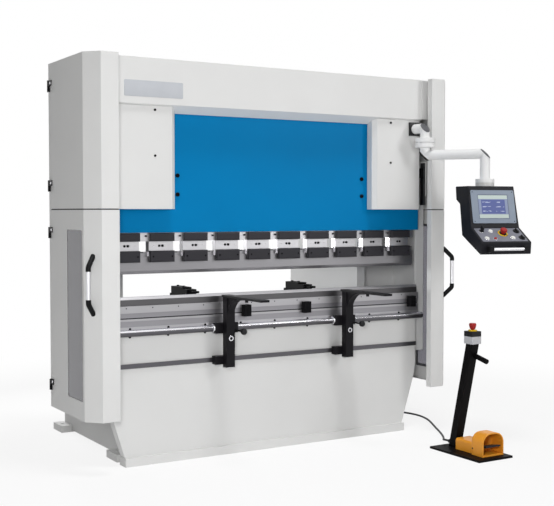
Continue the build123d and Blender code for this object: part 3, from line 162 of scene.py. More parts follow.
# sprayed and baked powder: a fine orange peel that breaks up the reflections, and faint clouds of tone
def powderCoat(name, look):
    finish, tree, shader, place = startFinish(name)
    peel = addNode(tree, "ShaderNodeTexNoise", {}, {"Scale": 1 / (look["peelMm"] * mm), "Detail": 3.0},
                   {"Vector": place})
    clouds = addNode(tree, "ShaderNodeTexNoise", {}, {"Scale": 1 / (look["cloudMm"] * mm)}, {"Vector": place})
    closeFinish(tree, shader, place, look, clouds.outputs["Fac"], peel.outputs["Fac"])
    return finish


# surface-ground or drawn steel: long scratches along one axis that stretch its highlights
def groundSteel(name, look):
    finish, tree, shader, place = startFinish(name)
    lay = addNode(tree, "ShaderNodeMapping", {}, {"Scale": [1 / (size * mm) for size in look["scratchMm"]]},
                  {"Vector": place})
    scratches = addNode(tree, "ShaderNodeTexNoise", {}, {"Scale": 1.0, "Detail": 4.0, "Roughness": 0.65},
                        {"Vector": lay.outputs["Vector"]}).outputs["Fac"]
    stains = addNode(tree, "ShaderNodeTexNoise", {}, {"Scale": 1 / (look["cloudMm"] * mm)}, {"Vector": place})
    blend = addNode(tree, "ShaderNodeMix", {"data_type": "FLOAT"}, {0: look["stainShare"]},
                    {2: scratches, 3: stains.outputs["Fac"]})
    closeFinish(tree, shader, place, look, blend.outputs[0], scratches)
    return finish


# moulded plastic or rubber: the spark-eroded grain of the tool, dull in its hollows
def moulded(name, look):
    finish, tree, shader, place = startFinish(name)
    grain = addNode(tree, "ShaderNodeTexVoronoi", {}, {"Scale": 1 / (look["grainMm"] * mm)},
                    {"Vector": place})
    clouds = addNode(tree, "ShaderNodeTexNoise", {}, {"Scale": 1 / (look["cloudMm"] * mm)}, {"Vector": place})
    closeFinish(tree, shader, place, look, clouds.outputs["Fac"], grain.outputs["Distance"])
    return finish


pendantTurn = -12.0
pendantAcross = (math.cos(math.radians(pendantTurn)), math.sin(math.radians(pendantTurn)), 0.0)
pendantAxis = (1141.5, -1094.0, 0.0)

# light-grey powder of the sheet metal: even and half matt; a real peel is near 2 mm wide and is drawn 5 mm
# wide so that it shows
greyPowder = {"colour": "e3e3e2", "shade": "dddddc", "cloudMm": 260.0, "peelMm": 5.0, "reliefMm": 0.4,
              "reliefShare": 0.10, "roughness": 0.46, "spread": 0.06, "specular": 0.35, "edgeMm": 3.0}
# black hinge halves on the doors
hingePatch = {"centre": (0, 0, 0), "axis": (1, 0, 0), "bothSides": True, "limit": 1163.6, "colour": "1d1d1f",
              "roughness": 0.42}
# near-white powder of the pendant's pipe, a little duller, with a black flange at the cover
pipePowder = dict(greyPowder, colour="f0f0f0", shade="eaeaea", peelMm=4.0, roughness=0.5)
flangePatch = {"centre": (0, -704, 0), "axis": (0, 1, 0), "limit": -0.1, "colour": "161618",
               "roughness": 0.42}
# blue enamel of the ram: deep colour under a thin gloss
bluePowder = dict(greyPowder, colour="0080bc", shade="0079b4", roughness=0.46, specular=0.06, edgeMm=4.0)
# dark machine paint of motors and cylinders: dull
motorPowder = dict(greyPowder, colour="3e4247", shade="33373b", roughness=0.5, edgeMm=2.0)
# charcoal crinkle paint of the pendant: a close relief that breaks its highlights, under a grey neck
hangPatch = {"centre": (0, 0, 1483), "axis": (0, 0, 1), "limit": 0.1, "colour": "d8d8d7", "roughness": 0.44}
charcoalPowder = dict(greyPowder, colour="1b1b21", shade="151519", peelMm=2.5, reliefShare=0.25,
                      roughness=0.5, specular=0.15, patches=[hangPatch])
# orange enamel of the cast foot switch: the glossiest of the paints
orangePowder = dict(greyPowder, colour="f6a632", shade="ef9c28", peelMm=3.0, roughness=0.38, edgeMm=2.5)
# black powder of the pedal stand: hardly any sheen
standPowder = dict(greyPowder, colour="0c0a0b", shade="080707", peelMm=2.5, roughness=0.5, edgeMm=2.0,
                   specular=0.06)

# surface-ground tool steel: bright, streaked along its length; real scratches are near 0.1 mm wide and are
# drawn 2 mm wide so that they show
toolSteel = {"colour": "cbcacd", "shade": "bbbabd", "scratchMm": (90.0, 2.0, 2.0), "cloudMm": 220.0,
             "stainShare": 0.4, "reliefMm": 0.05, "reliefShare": 0.25, "roughness": 0.34, "spread": 0.09,
             "metallic": 1.0, "edgeMm": 1.0}
# hardened punch: the same grind, greyer
punchSteel = dict(toolSteel, colour="9b9a9d", shade="868588")
# painted highlight and shade: the die's bevelled shoulders are painted bright over flanks painted darker as
# shade and dark reflection
dieHighlightPatch = {"centre": (0, 0, 874), "axis": (0, 0, 1), "limit": 0.0, "colour": "b2b1b4", "roughness": 0.36,
            "metallic": 1.0}
dieSteel = dict(toolSteel, colour="6a696b", shade="565557", roughness=0.36, patches=[dieHighlightPatch])
# milled holder: bands painted lighter and darker one above the other as painted reflections, with a dark band
# painted in the groove as painted shade
holderSteel = dict(toolSteel, colour="b4b3b6", shade="a3a2a5", roughness=0.40, patches=[
    {"centre": (0, 0, z), "axis": (0, 0, 1), "bothSides": True, "inside": True, "limit": half,
     "colour": colour, "roughness": 0.42, "metallic": 1.0}
    for z, half, colour in ((792.5, 12.4, "8f8e92"), (777, 2.9, "3c3c3f"), (747.5, 15.4, "939296"))])
# drawn rods: the brightest steel, finely scratched
rodSteel = dict(toolSteel, colour="e6e6ea", shade="dadade", scratchMm=(60.0, 1.5, 1.5), roughness=0.24)
# bright along the top of the rod; below z 709 the steel is darker: painted shade on the rod's lower half, and
# the lower rail is the same darker steel
rodShadePatch = {"centre": (0, 0, 709), "axis": (0, 0, -1), "limit": 0.0, "colour": "626165", "roughness": 0.38,
             "metallic": 1.0}
# ground rails and screw of the back gauge: clear highlights, scratched in depth
gaugeSteel = dict(toolSteel, colour="bcbcbe", shade="a6a6a8", scratchMm=(2.0, 60.0, 2.0), roughness=0.26)
# drawn and clear-anodised aluminium: soft, even highlights
anodised = dict(toolSteel, colour="d9d9dc", shade="cbcbcf", scratchMm=(3.0, 3.0, 40.0), roughness=0.36)
# grey-anodised cases of the scales: darker and duller
scaleAnodised = dict(anodised, colour="6c6d70", shade="5e5f62", roughness=0.42)
# black ends of the door handles and of the pendant's bar
handlePatch = {"centre": (0, 0, 969.5), "axis": (0, 0, 1), "bothSides": True, "limit": 70.0,
               "colour": "0e0e10", "roughness": 0.42}
pendantBarPatch = {"centre": pendantAxis, "axis": pendantAcross, "bothSides": True, "limit": 97.9,
                   "colour": "1c1c1e", "roughness": 0.42}
# black-oxide steel: nearly black with a dull oily sheen along the machining marks
blackOxide = dict(toolSteel, colour="161618", shade="101012", scratchMm=(25.0, 2.0, 2.0), roughness=0.5,
                  metallic=0.0, specular=0.04, edgeMm=2.5)
# oiled clamp bars: greyer, with more sheen
barOxide = dict(blackOxide, colour="343338", shade="29282c", specular=0.2)
# phosphated support arms: black and soft, on a bright shoe
armPatch = {"centre": (0, 0, 492.1), "axis": (0, 0, -1), "limit": 0.0, "colour": "cfcfd0", "roughness": 0.4,
            "metallic": 1.0}
armOxide = dict(blackOxide, colour="141216", shade="0e0d10", scratchMm=(4.0, 30.0, 4.0), specular=0.15,
                patches=[armPatch])

# glass-filled nylon, injection moulded: half matt; a real grain is near 0.2 mm and is drawn 1.6 mm wide so
# that it shows
blackNylon = {"colour": "1f1f21", "shade": "171719", "grainMm": 1.6, "cloudMm": 60.0, "reliefMm": 0.12,
              "reliefShare": 0.25, "roughness": 0.46, "spread": 0.05, "specular": 0.2}
greyCap = dict(blackNylon, colour="5f6064", shade="55565a")
# ABS of the buttons: from polished moulds, so with a clearer highlight
whiteAbs = dict(blackNylon, colour="eeeeea", shade="e4e4df", roughness=0.32, reliefShare=0.1)
redAbs = dict(blackNylon, colour="a92523", shade="981d1b", roughness=0.32, reliefShare=0.1)
yellowAbs = dict(blackNylon, colour="f0c419", shade="e6b90f", roughness=0.36, reliefShare=0.1)
# printed polyester foil of bezel and desk: flat, fine-grained greys
bezelFoil = dict(blackNylon, colour="8a95a4", shade="808b9b", grainMm=1.2, cloudMm=90.0, roughness=0.4)
deskSheet = dict(blackNylon, colour="83848e", shade="797a84", grainMm=1.2, cloudMm=80.0, roughness=0.42)
# engraving laminate of the bare nameplate: matt, faintly clouded
plateSheet = dict(blackNylon, colour="c6c9ce", shade="bcbfc5", grainMm=1.2, cloudMm=70.0, roughness=0.5)
# stop box of three mouldings: grey body, black lid and yellow plate
boxAbs = dict(blackNylon, colour="c4c4c7", shade="b9b9bc", roughness=0.42, patches=[
    {"centre": (0, 0, 650), "axis": (0, 0, 1), "limit": 0.0, "colour": "19191b", "roughness": 0.4},
    {"centre": (0, 0, 679.05), "axis": (0, 0, 1), "limit": 0.0, "colour": "f0c419", "roughness": 0.36}])
# PVC sheath: matt with a faint drawn grain
cableSheath = dict(blackNylon, colour="3a3a3c", shade="2f2f31", roughness=0.55)
# EPDM sealing strip: dead matt
sealRubber = dict(blackNylon, colour="232325", shade="1b1b1d", roughness=0.7, specular=0.2)

finishes = {
    "greyPowder": powderCoat("greyPowderCoat", greyPowder),
    "doorPowder": powderCoat("doorPowderCoat", dict(greyPowder, patches=[hingePatch])),
    "pipePowder": powderCoat("pipePowderCoat", pipePowder),
    "bracketPowder": powderCoat("bracketPowderCoat", dict(pipePowder, patches=[flangePatch])),
    "bluePowder": powderCoat("bluePowderCoat", bluePowder),
    "motorPowder": powderCoat("motorPowderCoat", motorPowder),
    "charcoalPowder": powderCoat("charcoalPowderCoat", charcoalPowder),
    "orangePowder": powderCoat("orangePowderCoat", orangePowder),
    "standPowder": powderCoat("standPowderCoat", standPowder),
    "toolSteel": groundSteel("groundToolSteel", toolSteel),
    "punchSteel": groundSteel("hardenedPunchSteel", punchSteel),
    "holderSteel": groundSteel("holderSteelPaintedReflections", holderSteel),
    "dieSteel": groundSteel("dieSteelPaintedHighlightShade", dieSteel),
    "rodSteel": groundSteel("drawnRodSteel", rodSteel),
    "railSteel": groundSteel("rodSteelPaintedShade", dict(rodSteel, patches=[rodShadePatch])),
    "gaugeSteel": groundSteel("groundGaugeSteel", gaugeSteel),
    "scaleAnodised": groundSteel("greyAnodisedAluminium", scaleAnodised),
    "barAnodised": groundSteel("anodisedPendantBar", dict(anodised, specular=0.1, patches=[pendantBarPatch])),
    "handleAnodised": groundSteel("anodisedDoorHandle", dict(anodised, specular=0.1, patches=[handlePatch])),
    "blackOxide": groundSteel("blackOxideSteel", blackOxide),
    "barOxide": groundSteel("oiledBarSteel", barOxide),
    "armOxide": groundSteel("phosphatedArmSteel", armOxide),
    "blackNylon": moulded("blackNylon", blackNylon),
    "greyCap": moulded("greyCapPlastic", greyCap),
    "whiteAbs": moulded("whiteAbs", whiteAbs),
    "redAbs": moulded("redAbs", redAbs),
    "yellowAbs": moulded("yellowAbs", yellowAbs),
    "bezelFoil": moulded("bezelFoil", bezelFoil),
    "deskSheet": moulded("deskFoil", deskSheet),
    "plateSheet": moulded("nameplateLaminate", plateSheet),
    "boxAbs": moulded("stopBoxAbs", boxAbs),
    "cableSheath": moulded("cableSheath", cableSheath),
    "sealRubber": moulded("sealRubber", sealRubber),
}

# smoke-tinted polycarbonate: clear body, faint wipe marks in the gloss
paneLook = {"colour": "96959d", "shade": "8a8991", "smearMm": (70.0, 70.0, 240.0), "roughness": 0.16,
            "spread": 0.06, "transmission": 0.75, "ior": 1.58, "reliefMm": 0.05, "reliefShare": 0.15}
paneFinish, paneTree, paneShader, panePlace = startFinish("smokedPolycarbonate")
paneLay = addNode(paneTree, "ShaderNodeMapping", {},
                  {"Scale": [1 / (size * mm) for size in paneLook["smearMm"]]}, {"Vector": panePlace})
paneSmears = addNode(paneTree, "ShaderNodeTexNoise", {}, {"Scale": 1.0, "Detail": 3.0},
                     {"Vector": paneLay.outputs["Vector"]}).outputs["Fac"]
closeFinish(paneTree, paneShader, panePlace, paneLook, paneSmears, paneSmears)
paneShader.inputs["Transmission Weight"].default_value = paneLook["transmission"]
paneShader.inputs["IOR"].default_value = paneLook["ior"]
finishes["pane"] = paneFinish

# liquid-crystal display behind glass, in the panel's own frame: a dark rim, two pale bars, a blue field
# between them and rows of small pale dashes; each layer has its half width, half height and colour
lcdLook = {"colour": "8f99aa", "shade": "8791a3", "cloudMm": 30.0, "dash": "b4bdd6",
           "layers": [(97.0, 69.5, "535d76"), (94.5, 67.0, "c3d0cb"), (94.5, 45.0, "8d97b2"),
                      (77.0, 41.0, "59649a")],
           "rowMm": 26.0, "dashRow": 3.2, "dashMm": (24.0, 7.0, 7.0), "dashCut": 0.5, "dashMiddle": 43.0,
           "dashHalf": 27.0, "roughness": 0.45, "spread": 0.04, "specular": 0.2, "grainMm": 2.0,
           "reliefMm": 0.02, "reliefShare": 0.1}
lcdFinish, lcdTree, lcdShader, lcdPlace = startFinish("displayGlass")
lcdAxes = addNode(lcdTree, "ShaderNodeSeparateXYZ", {}, {}, {0: lcdPlace})
lcdSides = [addNode(lcdTree, "ShaderNodeMath", {"operation": "ABSOLUTE"}, {},
                    {0: lcdAxes.outputs[axis]}).outputs[0] for axis in ("X", "Y")]
lcdClouds = addNode(lcdTree, "ShaderNodeTexNoise", {}, {"Scale": 1 / (lcdLook["cloudMm"] * mm)},
                    {"Vector": lcdPlace})
lcdTone = addNode(lcdTree, "ShaderNodeMix", {"data_type": "RGBA"},
                  {6: linear(lcdLook["colour"]), 7: linear(lcdLook["shade"])},
                  {0: lcdClouds.outputs["Fac"]}).outputs[2]
for *halves, colour in lcdLook["layers"]:
    inside = [addNode(lcdTree, "ShaderNodeMath", {"operation": "LESS_THAN"}, {1: half * mm},
                      {0: side}).outputs[0] for half, side in zip(halves, lcdSides)]
    lcdField = addNode(lcdTree, "ShaderNodeMath", {"operation": "MULTIPLY"}, {},
                       {0: inside[0], 1: inside[1]}).outputs[0]
    lcdTone = addNode(lcdTree, "ShaderNodeMix", {"data_type": "RGBA"}, {7: linear(colour)},
                      {0: lcdField, 6: lcdTone}).outputs[2]
lcdFold = addNode(lcdTree, "ShaderNodeMath", {"operation": "PINGPONG"}, {1: lcdLook["rowMm"] / 2 * mm},
                  {0: lcdAxes.outputs["Y"]})
lcdRow = addNode(lcdTree, "ShaderNodeMath", {"operation": "LESS_THAN"}, {1: lcdLook["dashRow"] * mm},
                 {0: lcdFold.outputs[0]})
lcdColumns = addNode(lcdTree, "ShaderNodeMath", {"operation": "COMPARE"},
                     {1: lcdLook["dashMiddle"] * mm, 2: lcdLook["dashHalf"] * mm}, {0: lcdSides[0]})
lcdLay = addNode(lcdTree, "ShaderNodeMapping", {},
                 {"Scale": [1 / (size * mm) for size in lcdLook["dashMm"]]}, {"Vector": lcdPlace})
lcdNoise = addNode(lcdTree, "ShaderNodeTexNoise", {}, {"Scale": 1.0, "Detail": 1.0},
                   {"Vector": lcdLay.outputs["Vector"]})
lcdDash = addNode(lcdTree, "ShaderNodeMath", {"operation": "GREATER_THAN"}, {1: lcdLook["dashCut"]},
                  {0: lcdNoise.outputs["Fac"]}).outputs[0]
for mask in (lcdRow.outputs[0], lcdColumns.outputs[0], lcdField):
    lcdDash = addNode(lcdTree, "ShaderNodeMath", {"operation": "MULTIPLY"}, {},
                      {0: lcdDash, 1: mask}).outputs[0]
lcdTone = addNode(lcdTree, "ShaderNodeMix", {"data_type": "RGBA"}, {7: linear(lcdLook["dash"])},
                  {0: lcdDash, 6: lcdTone}).outputs[2]
lcdGrain = addNode(lcdTree, "ShaderNodeTexNoise", {}, {"Scale": 1 / (lcdLook["grainMm"] * mm)},
                   {"Vector": lcdPlace})
closeFinish(lcdTree, lcdShader, lcdPlace, lcdLook, None, lcdGrain.outputs["Fac"], lcdTone)
finishes["lcd"] = lcdFinish

# the solids that wear each finish
finishOf = {
    "greyPowder": ["side_frames", "frame_ties", "bed", "crossbeam_cover", "cylinder_covers", "cabinet",
                   "housings", "gauge_beam", "scale_frames"],
    "doorPowder": ["door_upper_left", "door_upper_right", "door_lower_left", "door_lower_right"],
    "pipePowder": ["pendant_arm"],
    "bracketPowder": ["arm_bracket"],
    "bluePowder": ["ram"],
    "motorPowder": ["pump_motor", "cylinders", "gauge_motor"],
    "charcoalPowder": ["pendant"],
    "orangePowder": ["foot_switch"],
    "standPowder": ["pedal_stand"],
    "toolSteel": ["clamp_blocks"],
    "punchSteel": ["punch"],
    "holderSteel": ["die_holder"],
    "dieSteel": ["lower_die"],
    "rodSteel": ["piston_rods"],
    "railSteel": ["guide_rails"],
    "gaugeSteel": ["gauge_rails", "gauge_screw"],
    "scaleAnodised": ["linear_scales"],
    "barAnodised": ["pendant_handle"],
    "handleAnodised": ["handle_left", "handle_right"],
    "blackOxide": ["finger_left", "finger_right", "die_clamps", "hinge_pins", "scale_readers"],
    "barOxide": ["clamp_bars"],
    "armOxide": ["support_arm_left", "support_arm_right"],
    "blackNylon": ["arm_knob_left", "arm_knob_right", "selector_upper", "selector_lower", "key_switch",
                   "foot_pedal", "cable_glands"],
    "bezelFoil": ["screen"],
    "pane": ["window_left", "window_right"],
    "whiteAbs": ["white_button_upper", "white_button_left", "white_button_right"],
    "boxAbs": ["estop_box"],
    "redAbs": ["stop_button", "red_button", "pedal_estop"],
    "cableSheath": ["pedal_cable"],
}
for finishName, nodeNames in finishOf.items():
    for nodeName in nodeNames:
        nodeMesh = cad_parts[nodeName].data
        nodeMesh.materials.clear()
        nodeMesh.materials.append(finishes[finishName])
pedalCable.data.materials.append(finishes["cableSheath"])
print("finishes on", len(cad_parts), "nodes")

meshLook = {"weldMm": 0.001, "sharpAngle": 35.0, "cornerSteps": 6, "roundShare": 0.3, "screwSides": 20}


# a frame whose z axis looks along the given direction
def facing(place, normal):
    turn = Vector(normal).to_track_quat("Z", "Y").to_matrix().to_4x4()
    return Matrix.Translation(Vector(place) * mm) @ turn


# the same with its x axis laid across as given
def framed(place, normal, across):
    out = Vector(normal).normalized()
    side = Vector(across).normalized()
    turn = Matrix((side, out.cross(side), out)).transposed().to_4x4()
    return Matrix.Translation(Vector(place) * mm) @ turn


# faces from each ring of points to the next; a ring may be a single point
def joinRings(mesh, rings):
    for low, high in zip(rings, rings[1:]):
        count = max(len(low), len(high))
        for i in range(count):
            j = (i + 1) % count
            corners = [low[i % len(low)], low[j % len(low)], high[j % len(high)], high[i % len(high)]]
            mesh.faces.new(list(dict.fromkeys(corners)))


# rings of points skinned over and closed at both ends
def closedSkin(mesh, rings):
    joinRings(mesh, rings)
    mesh.faces.new(rings[0][::-1])
    mesh.faces.new(rings[-1])


# turned profile of (radius, height), closed to a point where the radius is nought
def spinProfile(mesh, profile, spot, sides):
    angles = [2 * math.pi * i / sides for i in range(sides)]
    rings = []
    for radius, height in profile:
        ring = [(0, 0, height)]
        if radius:
            ring = [(radius * math.cos(a), radius * math.sin(a), height) for a in angles]
        rings.append([mesh.verts.new(spot @ (Vector(point) * mm)) for point in ring])
    joinRings(mesh, rings)


# finished mesh piece on its body
def makePiece(name, mesh, body, slot, finish, spot=None):
    bmesh.ops.remove_doubles(mesh, verts=mesh.verts, dist=meshLook["weldMm"] * mm)
    bmesh.ops.recalc_face_normals(mesh, faces=mesh.faces)
    data = bpy.data.meshes.new(name)
    mesh.to_mesh(data)
    mesh.free()
    data.shade_smooth()
    data.set_sharp_from_angle(angle=math.radians(meshLook["sharpAngle"]))
    data.materials.append(finishes[finish])
    piece = bpy.data.objects.new(name, data)
    if spot is not None:
        piece.matrix_world = spot
    scene.collection.objects.link(piece)
    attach(piece, body)


# corners of a rounded rectangle, anticlockwise
def roundedOutline(size, corner):
    steps = meshLook["cornerSteps"]
    points = []
    for signX, signY, start in ((1, 1, 0), (-1, 1, 90), (-1, -1, 180), (1, -1, 270)):
        for step in range(steps + 1):
            angle = math.radians(start + 90 * step / steps)
            points.append(((size[0] / 2 - corner) * signX + corner * math.cos(angle),
                           (size[1] / 2 - corner) * signY + corner * math.sin(angle)))
    return points


# plate with rounded corners and a softened front edge, lying in the frame's own xy plane
def roundedPlate(mesh, look, spot):
    (width, depth), thick, soften = look["size"], look["thick"], look["soften"]
    bulge = soften * meshLook["roundShare"]
    outline = roundedOutline(look["size"], look["corner"])
    rings = []
    for inset, height in ((0.0, 0.0), (0.0, thick - soften), (bulge, thick - bulge), (soften, thick)):
        shrinkX, shrinkY = (width - 2 * inset) / width, (depth - 2 * inset) / depth
        rings.append([mesh.verts.new(spot @ (Vector((x * shrinkX, y * shrinkY, height)) * mm))
                      for x, y in outline])
    closedSkin(mesh, rings)


# one such plate on the frame of the machine
def platePiece(name, look, normal, slot, finish):
    mesh = bmesh.new()
    roundedPlate(mesh, look, facing(look["place"], normal))
    makePiece(name, mesh, "base", slot, finish)


# socket-head screw: chamfered head with a deep socket, in shares of its radius and height
headLook = {"sink": 1.0, "chamferShare": 0.12, "mouthShare": 0.52, "wallShare": 0.48, "easeShare": 0.08,
            "floorShare": 0.46, "floorLevelShare": 0.35, "middleLevelShare": 0.3}


def socketHead(radius, height):
    chamfer = radius * headLook["chamferShare"]
    return [(0, -headLook["sink"]), (radius, -headLook["sink"]), (radius, height - chamfer),
            (radius - chamfer, height), (radius * headLook["mouthShare"], height),
            (radius * headLook["wallShare"], height - radius * headLook["easeShare"]),
            (radius * headLook["floorShare"], height * headLook["floorLevelShare"]),
            (0, height * headLook["middleLevelShare"])]


# flat ring with softened rims
def ringProfile(outer, inner, height, soften):
    return [(outer, 0.0), (outer, height - soften), (outer - soften, height), (inner + soften, height),
            (inner, height - soften), (inner, 0.0), (outer, 0.0)]


# turned pieces, one at each place: socket-head screws unless the look has a profile of its own
def turnedSet(name, look, body, slot, finish):
    mesh = bmesh.new()
    profile = look.get("profile") or socketHead(look["radius"], look["height"])
    for place in look["places"]:
        spinProfile(mesh, profile, facing(place, look["normal"]), look.get("sides", meshLook["screwSides"]))
    makePiece(name, mesh, body, slot, finish)


# places from one end of a row to the other
def evenRow(half, pitch):
    return range(-half, half + 1, pitch)


front, rear, upward, across = (0, -1, 0), (0, 1, 0), (0, 0, 1), (1, 0, 0)
hands = (("left", -1), ("right", 1))
oxideScrew = ("black_steel", "blackOxide")
brightScrew = ("bright_steel", "rodSteel")

coverScrews = {"radius": 6.5, "height": 4.0, "normal": front,
               "places": [(x, -692.0, z) for x in (-763, 763) for z in (1864, 1627)]}
turnedSet("coverScrews", coverScrews, "base", *oxideScrew)
ramBolts = {"radius": 11.0, "height": 9.0, "normal": front,
            "places": [(x, -620.0, z) for x in (-602, 602) for z in (1428, 1529)]}
turnedSet("ramBolts", ramBolts, "ram", *oxideScrew)
clampRow = {"count": 10, "pitch": 198.0}
clampPlaces = [(i - (clampRow["count"] - 1) / 2) * clampRow["pitch"] for i in range(clampRow["count"])]
clampScrews = {"radius": 6.4, "height": 4.5, "normal": front, "sides": 16,
               "places": [(x + beside, -603.0, 1156.0) for x in clampPlaces for beside in (-9.5, 9.5)]}
turnedSet("clampScrews", clampScrews, "ram", *oxideScrew)
barScrews = {"radius": 4.5, "height": 2.0, "normal": front, "sides": 16,
             "places": [(x + beside, -632.0, 1100.0) for x in clampPlaces for beside in (-55, 55)]}
turnedSet("barScrews", barScrews, "ram", *oxideScrew)
bedRow = {"half": 880, "pitch": 220}  # in line with the holder's own holes
bedPlaces = evenRow(**bedRow)
bedScrews = {"radius": 6.5, "height": 5.0, "normal": front, "places": [(x, -620.0, 681.0) for x in bedPlaces]}
turnedSet("bedScrews", bedScrews, "base", *oxideScrew)
holderScrews = {"radius": 6.8, "height": 2.4, "normal": front,
                "places": [(x, -625.0, 722.0) for x in bedPlaces]}
turnedSet("holderScrews", holderScrews, "base", *oxideScrew)
setRow = {"half": 900, "pitch": 150}
setScrews = {"radius": 3.3, "height": 0.6, "normal": front, "sides": 12,
             "places": [(x, -625.0, 831.0) for x in evenRow(**setRow)]}
turnedSet("setScrews", setScrews, "base", *oxideScrew)
print("screws set")

# bare nameplate on the crossbeam
plateLook = {"size": (331.0, 83.0), "corner": 6.0, "thick": 1.6, "soften": 0.5,
             "place": (-773.5, -705.0, 1968.5)}
platePiece("nameplate", plateLook, front, "grey_paint", "plateSheet")

# zinc-plated pan-head screws, one on each hinge leaf; a leaf has its depth and its shift from the middle
hingeLook = {"profile": [(0, -0.8), (8.0, -0.8), (8.0, 0.7), (6.6, 1.9), (3.2, 2.6), (1.2, 2.6), (0.8, 2.0),
                         (0, 2.0)],
             "x": 1169.0, "upper": (1475.0, 2009.0), "lower": (402.0, 1224.0),
             "Door": (-237.0, 15.0), "Post": (-203.0, -15.0)}
for side, sign in hands:
    for level in ("upper", "lower"):
        for leaf, body in (("Door", f"door_{level}_{side}"), ("Post", "base")):
            y, shift = hingeLook[leaf]
            places = [(sign * hingeLook["x"], y, z + shift) for z in hingeLook[level]]
            turnedSet(f"{level}{side.title()}{leaf}HingeScrews",
                      dict(hingeLook, normal=(sign, 0, 0), places=places), body, *brightScrew)

# oval domed caps on the mitred elbows of the pendant's pipe
pivotAxis = (938.0, -796.0)
capLook = {"stretch": 1.4142, "lift": 1.74, "sides": 48,
           "shallow": [(0, -0.4), (27, -0.4), (27, 1.5), (24, 4.0), (16, 6.3), (8, 6.9), (0, 7.0)],
           "deep": [(0, -0.4), (27, -0.4), (27, 6.0), (25, 10.0), (18, 13.0), (8, 13.8), (0, 14.0)]}
capPlaces = {
    "upperElbowCap": {"corner": (*pivotAxis, 1832), "outward": (0, -1, 1), "across": (1, 0, 0),
                      "finish": "greyCap", "shape": "shallow"},
    "lowerElbowCap": {"corner": (*pivotAxis, 1672), "outward": (-0.564, 0.826, -1),
                      "across": (0.826, 0.564, 0), "finish": "blackNylon", "shape": "deep"},
    "outerElbowCap": {"corner": (*pendantAxis[:2], 1672), "outward": (0.564, -0.826, 1),
                      "across": (0.826, 0.564, 0), "finish": "greyCap", "shape": "shallow"},
}
for name, look in capPlaces.items():
    seat = Vector(look["corner"]) + Vector(look["outward"]).normalized() * capLook["lift"]
    oval = Matrix.Diagonal((1, capLook["stretch"], 1, 1))
    mesh = bmesh.new()
    spinProfile(mesh, capLook[look["shape"]], framed(seat, look["outward"], look["across"]) @ oval,
                capLook["sides"])
    makePiece(name, mesh, "pendant_arm", "black_plastic", look["finish"])
# collars round the pivot, one on the fixed half and one on the turning half
pivotLook = {"outer": 57.0, "inner": 48.2, "soften": 2.2, "sides": 64,
             "upper": (1747.0, 27.0, 1, "base"), "lower": (1744.4, 28.0, -1, "pendant_arm")}
for half in ("upper", "lower"):
    level, height, sign, body = pivotLook[half]
    profile = ringProfile(pivotLook["outer"], pivotLook["inner"], height, pivotLook["soften"])
    turnedSet(f"{half}PivotCollar", dict(pivotLook, profile=profile, normal=(0, 0, sign),
                                         places=[(*pivotAxis, level)]), body, "grey_paint", "pipePowder")
print("elbow caps and pivot collars set")

# display in the bezel's recess, with its own frame so that its pattern stays square to it
pendantSwing = Matrix.Rotation(math.radians(pendantTurn), 4, "Z")
pendantFrame = Matrix.Translation(Vector(pendantAxis) * mm) @ pendantSwing
lcdPanel = {"size": (196.0, 141.0), "corner": 2.0, "thick": 0.6, "soften": 0.2, "lift": 2.6,
            "origin": (0.0, -95.0, 1364.5), "normal": (0.0, -0.9785, 0.2064)}
screenFrame = pendantFrame @ framed(lcdPanel["origin"], lcdPanel["normal"], across)
mesh = bmesh.new()
roundedPlate(mesh, lcdPanel, Matrix.Identity(4))
makePiece("displayPanel", mesh, "pendant", "bezel_plastic", "lcd",
          screenFrame @ Matrix.Translation((0, 0, lcdPanel["lift"] * mm)))
bezelScrews = {"radius": 2.9, "height": 1.2, "lift": 4.0, "sides": 16,
               "places": [(x, y) for x in (-129, 129) for y in (-86, 86)]}
mesh = bmesh.new()
for place in bezelScrews["places"]:
    spot = screenFrame @ Matrix.Translation(Vector((*place, bezelScrews["lift"])) * mm)
    spinProfile(mesh, socketHead(bezelScrews["radius"], bezelScrews["height"]), spot, bezelScrews["sides"])
makePiece("bezelScrews", mesh, "pendant", *oxideScrew)

# foil on the control desk, cut out round each control; a control has its shares across and down the desk and
# the radius of its hole
deskLook = {"origin": (0.0, -182.0, 1205.5), "normal": (0.0, -0.5469, 0.8372), "length": 148.1,
            "width": 306.0, "margin": 9.0, "corner": 5.0, "thick": 0.8, "holeSides": 32}
deskSpots = {"stop": (0.555, 0.42, 29.5), "whiteUpper": (0.33, 0.27, 16.2), "whiteLeft": (0.15, 0.74, 16.2),
             "whiteRight": (0.70, 0.72, 16.2), "red": (0.32, 0.76, 12.2),
             "selectorUpper": (0.875, 0.28, 19.7), "selectorLower": (0.89, 0.72, 19.7),
             "key": (0.15, 0.25, 16.5)}
deskFrame = pendantFrame @ framed(deskLook["origin"], deskLook["normal"], across)


# place on the desk from the shares across and down
def deskPlace(spot):
    return ((spot[0] - 0.5) * deskLook["width"], (0.5 - spot[1]) * deskLook["length"])


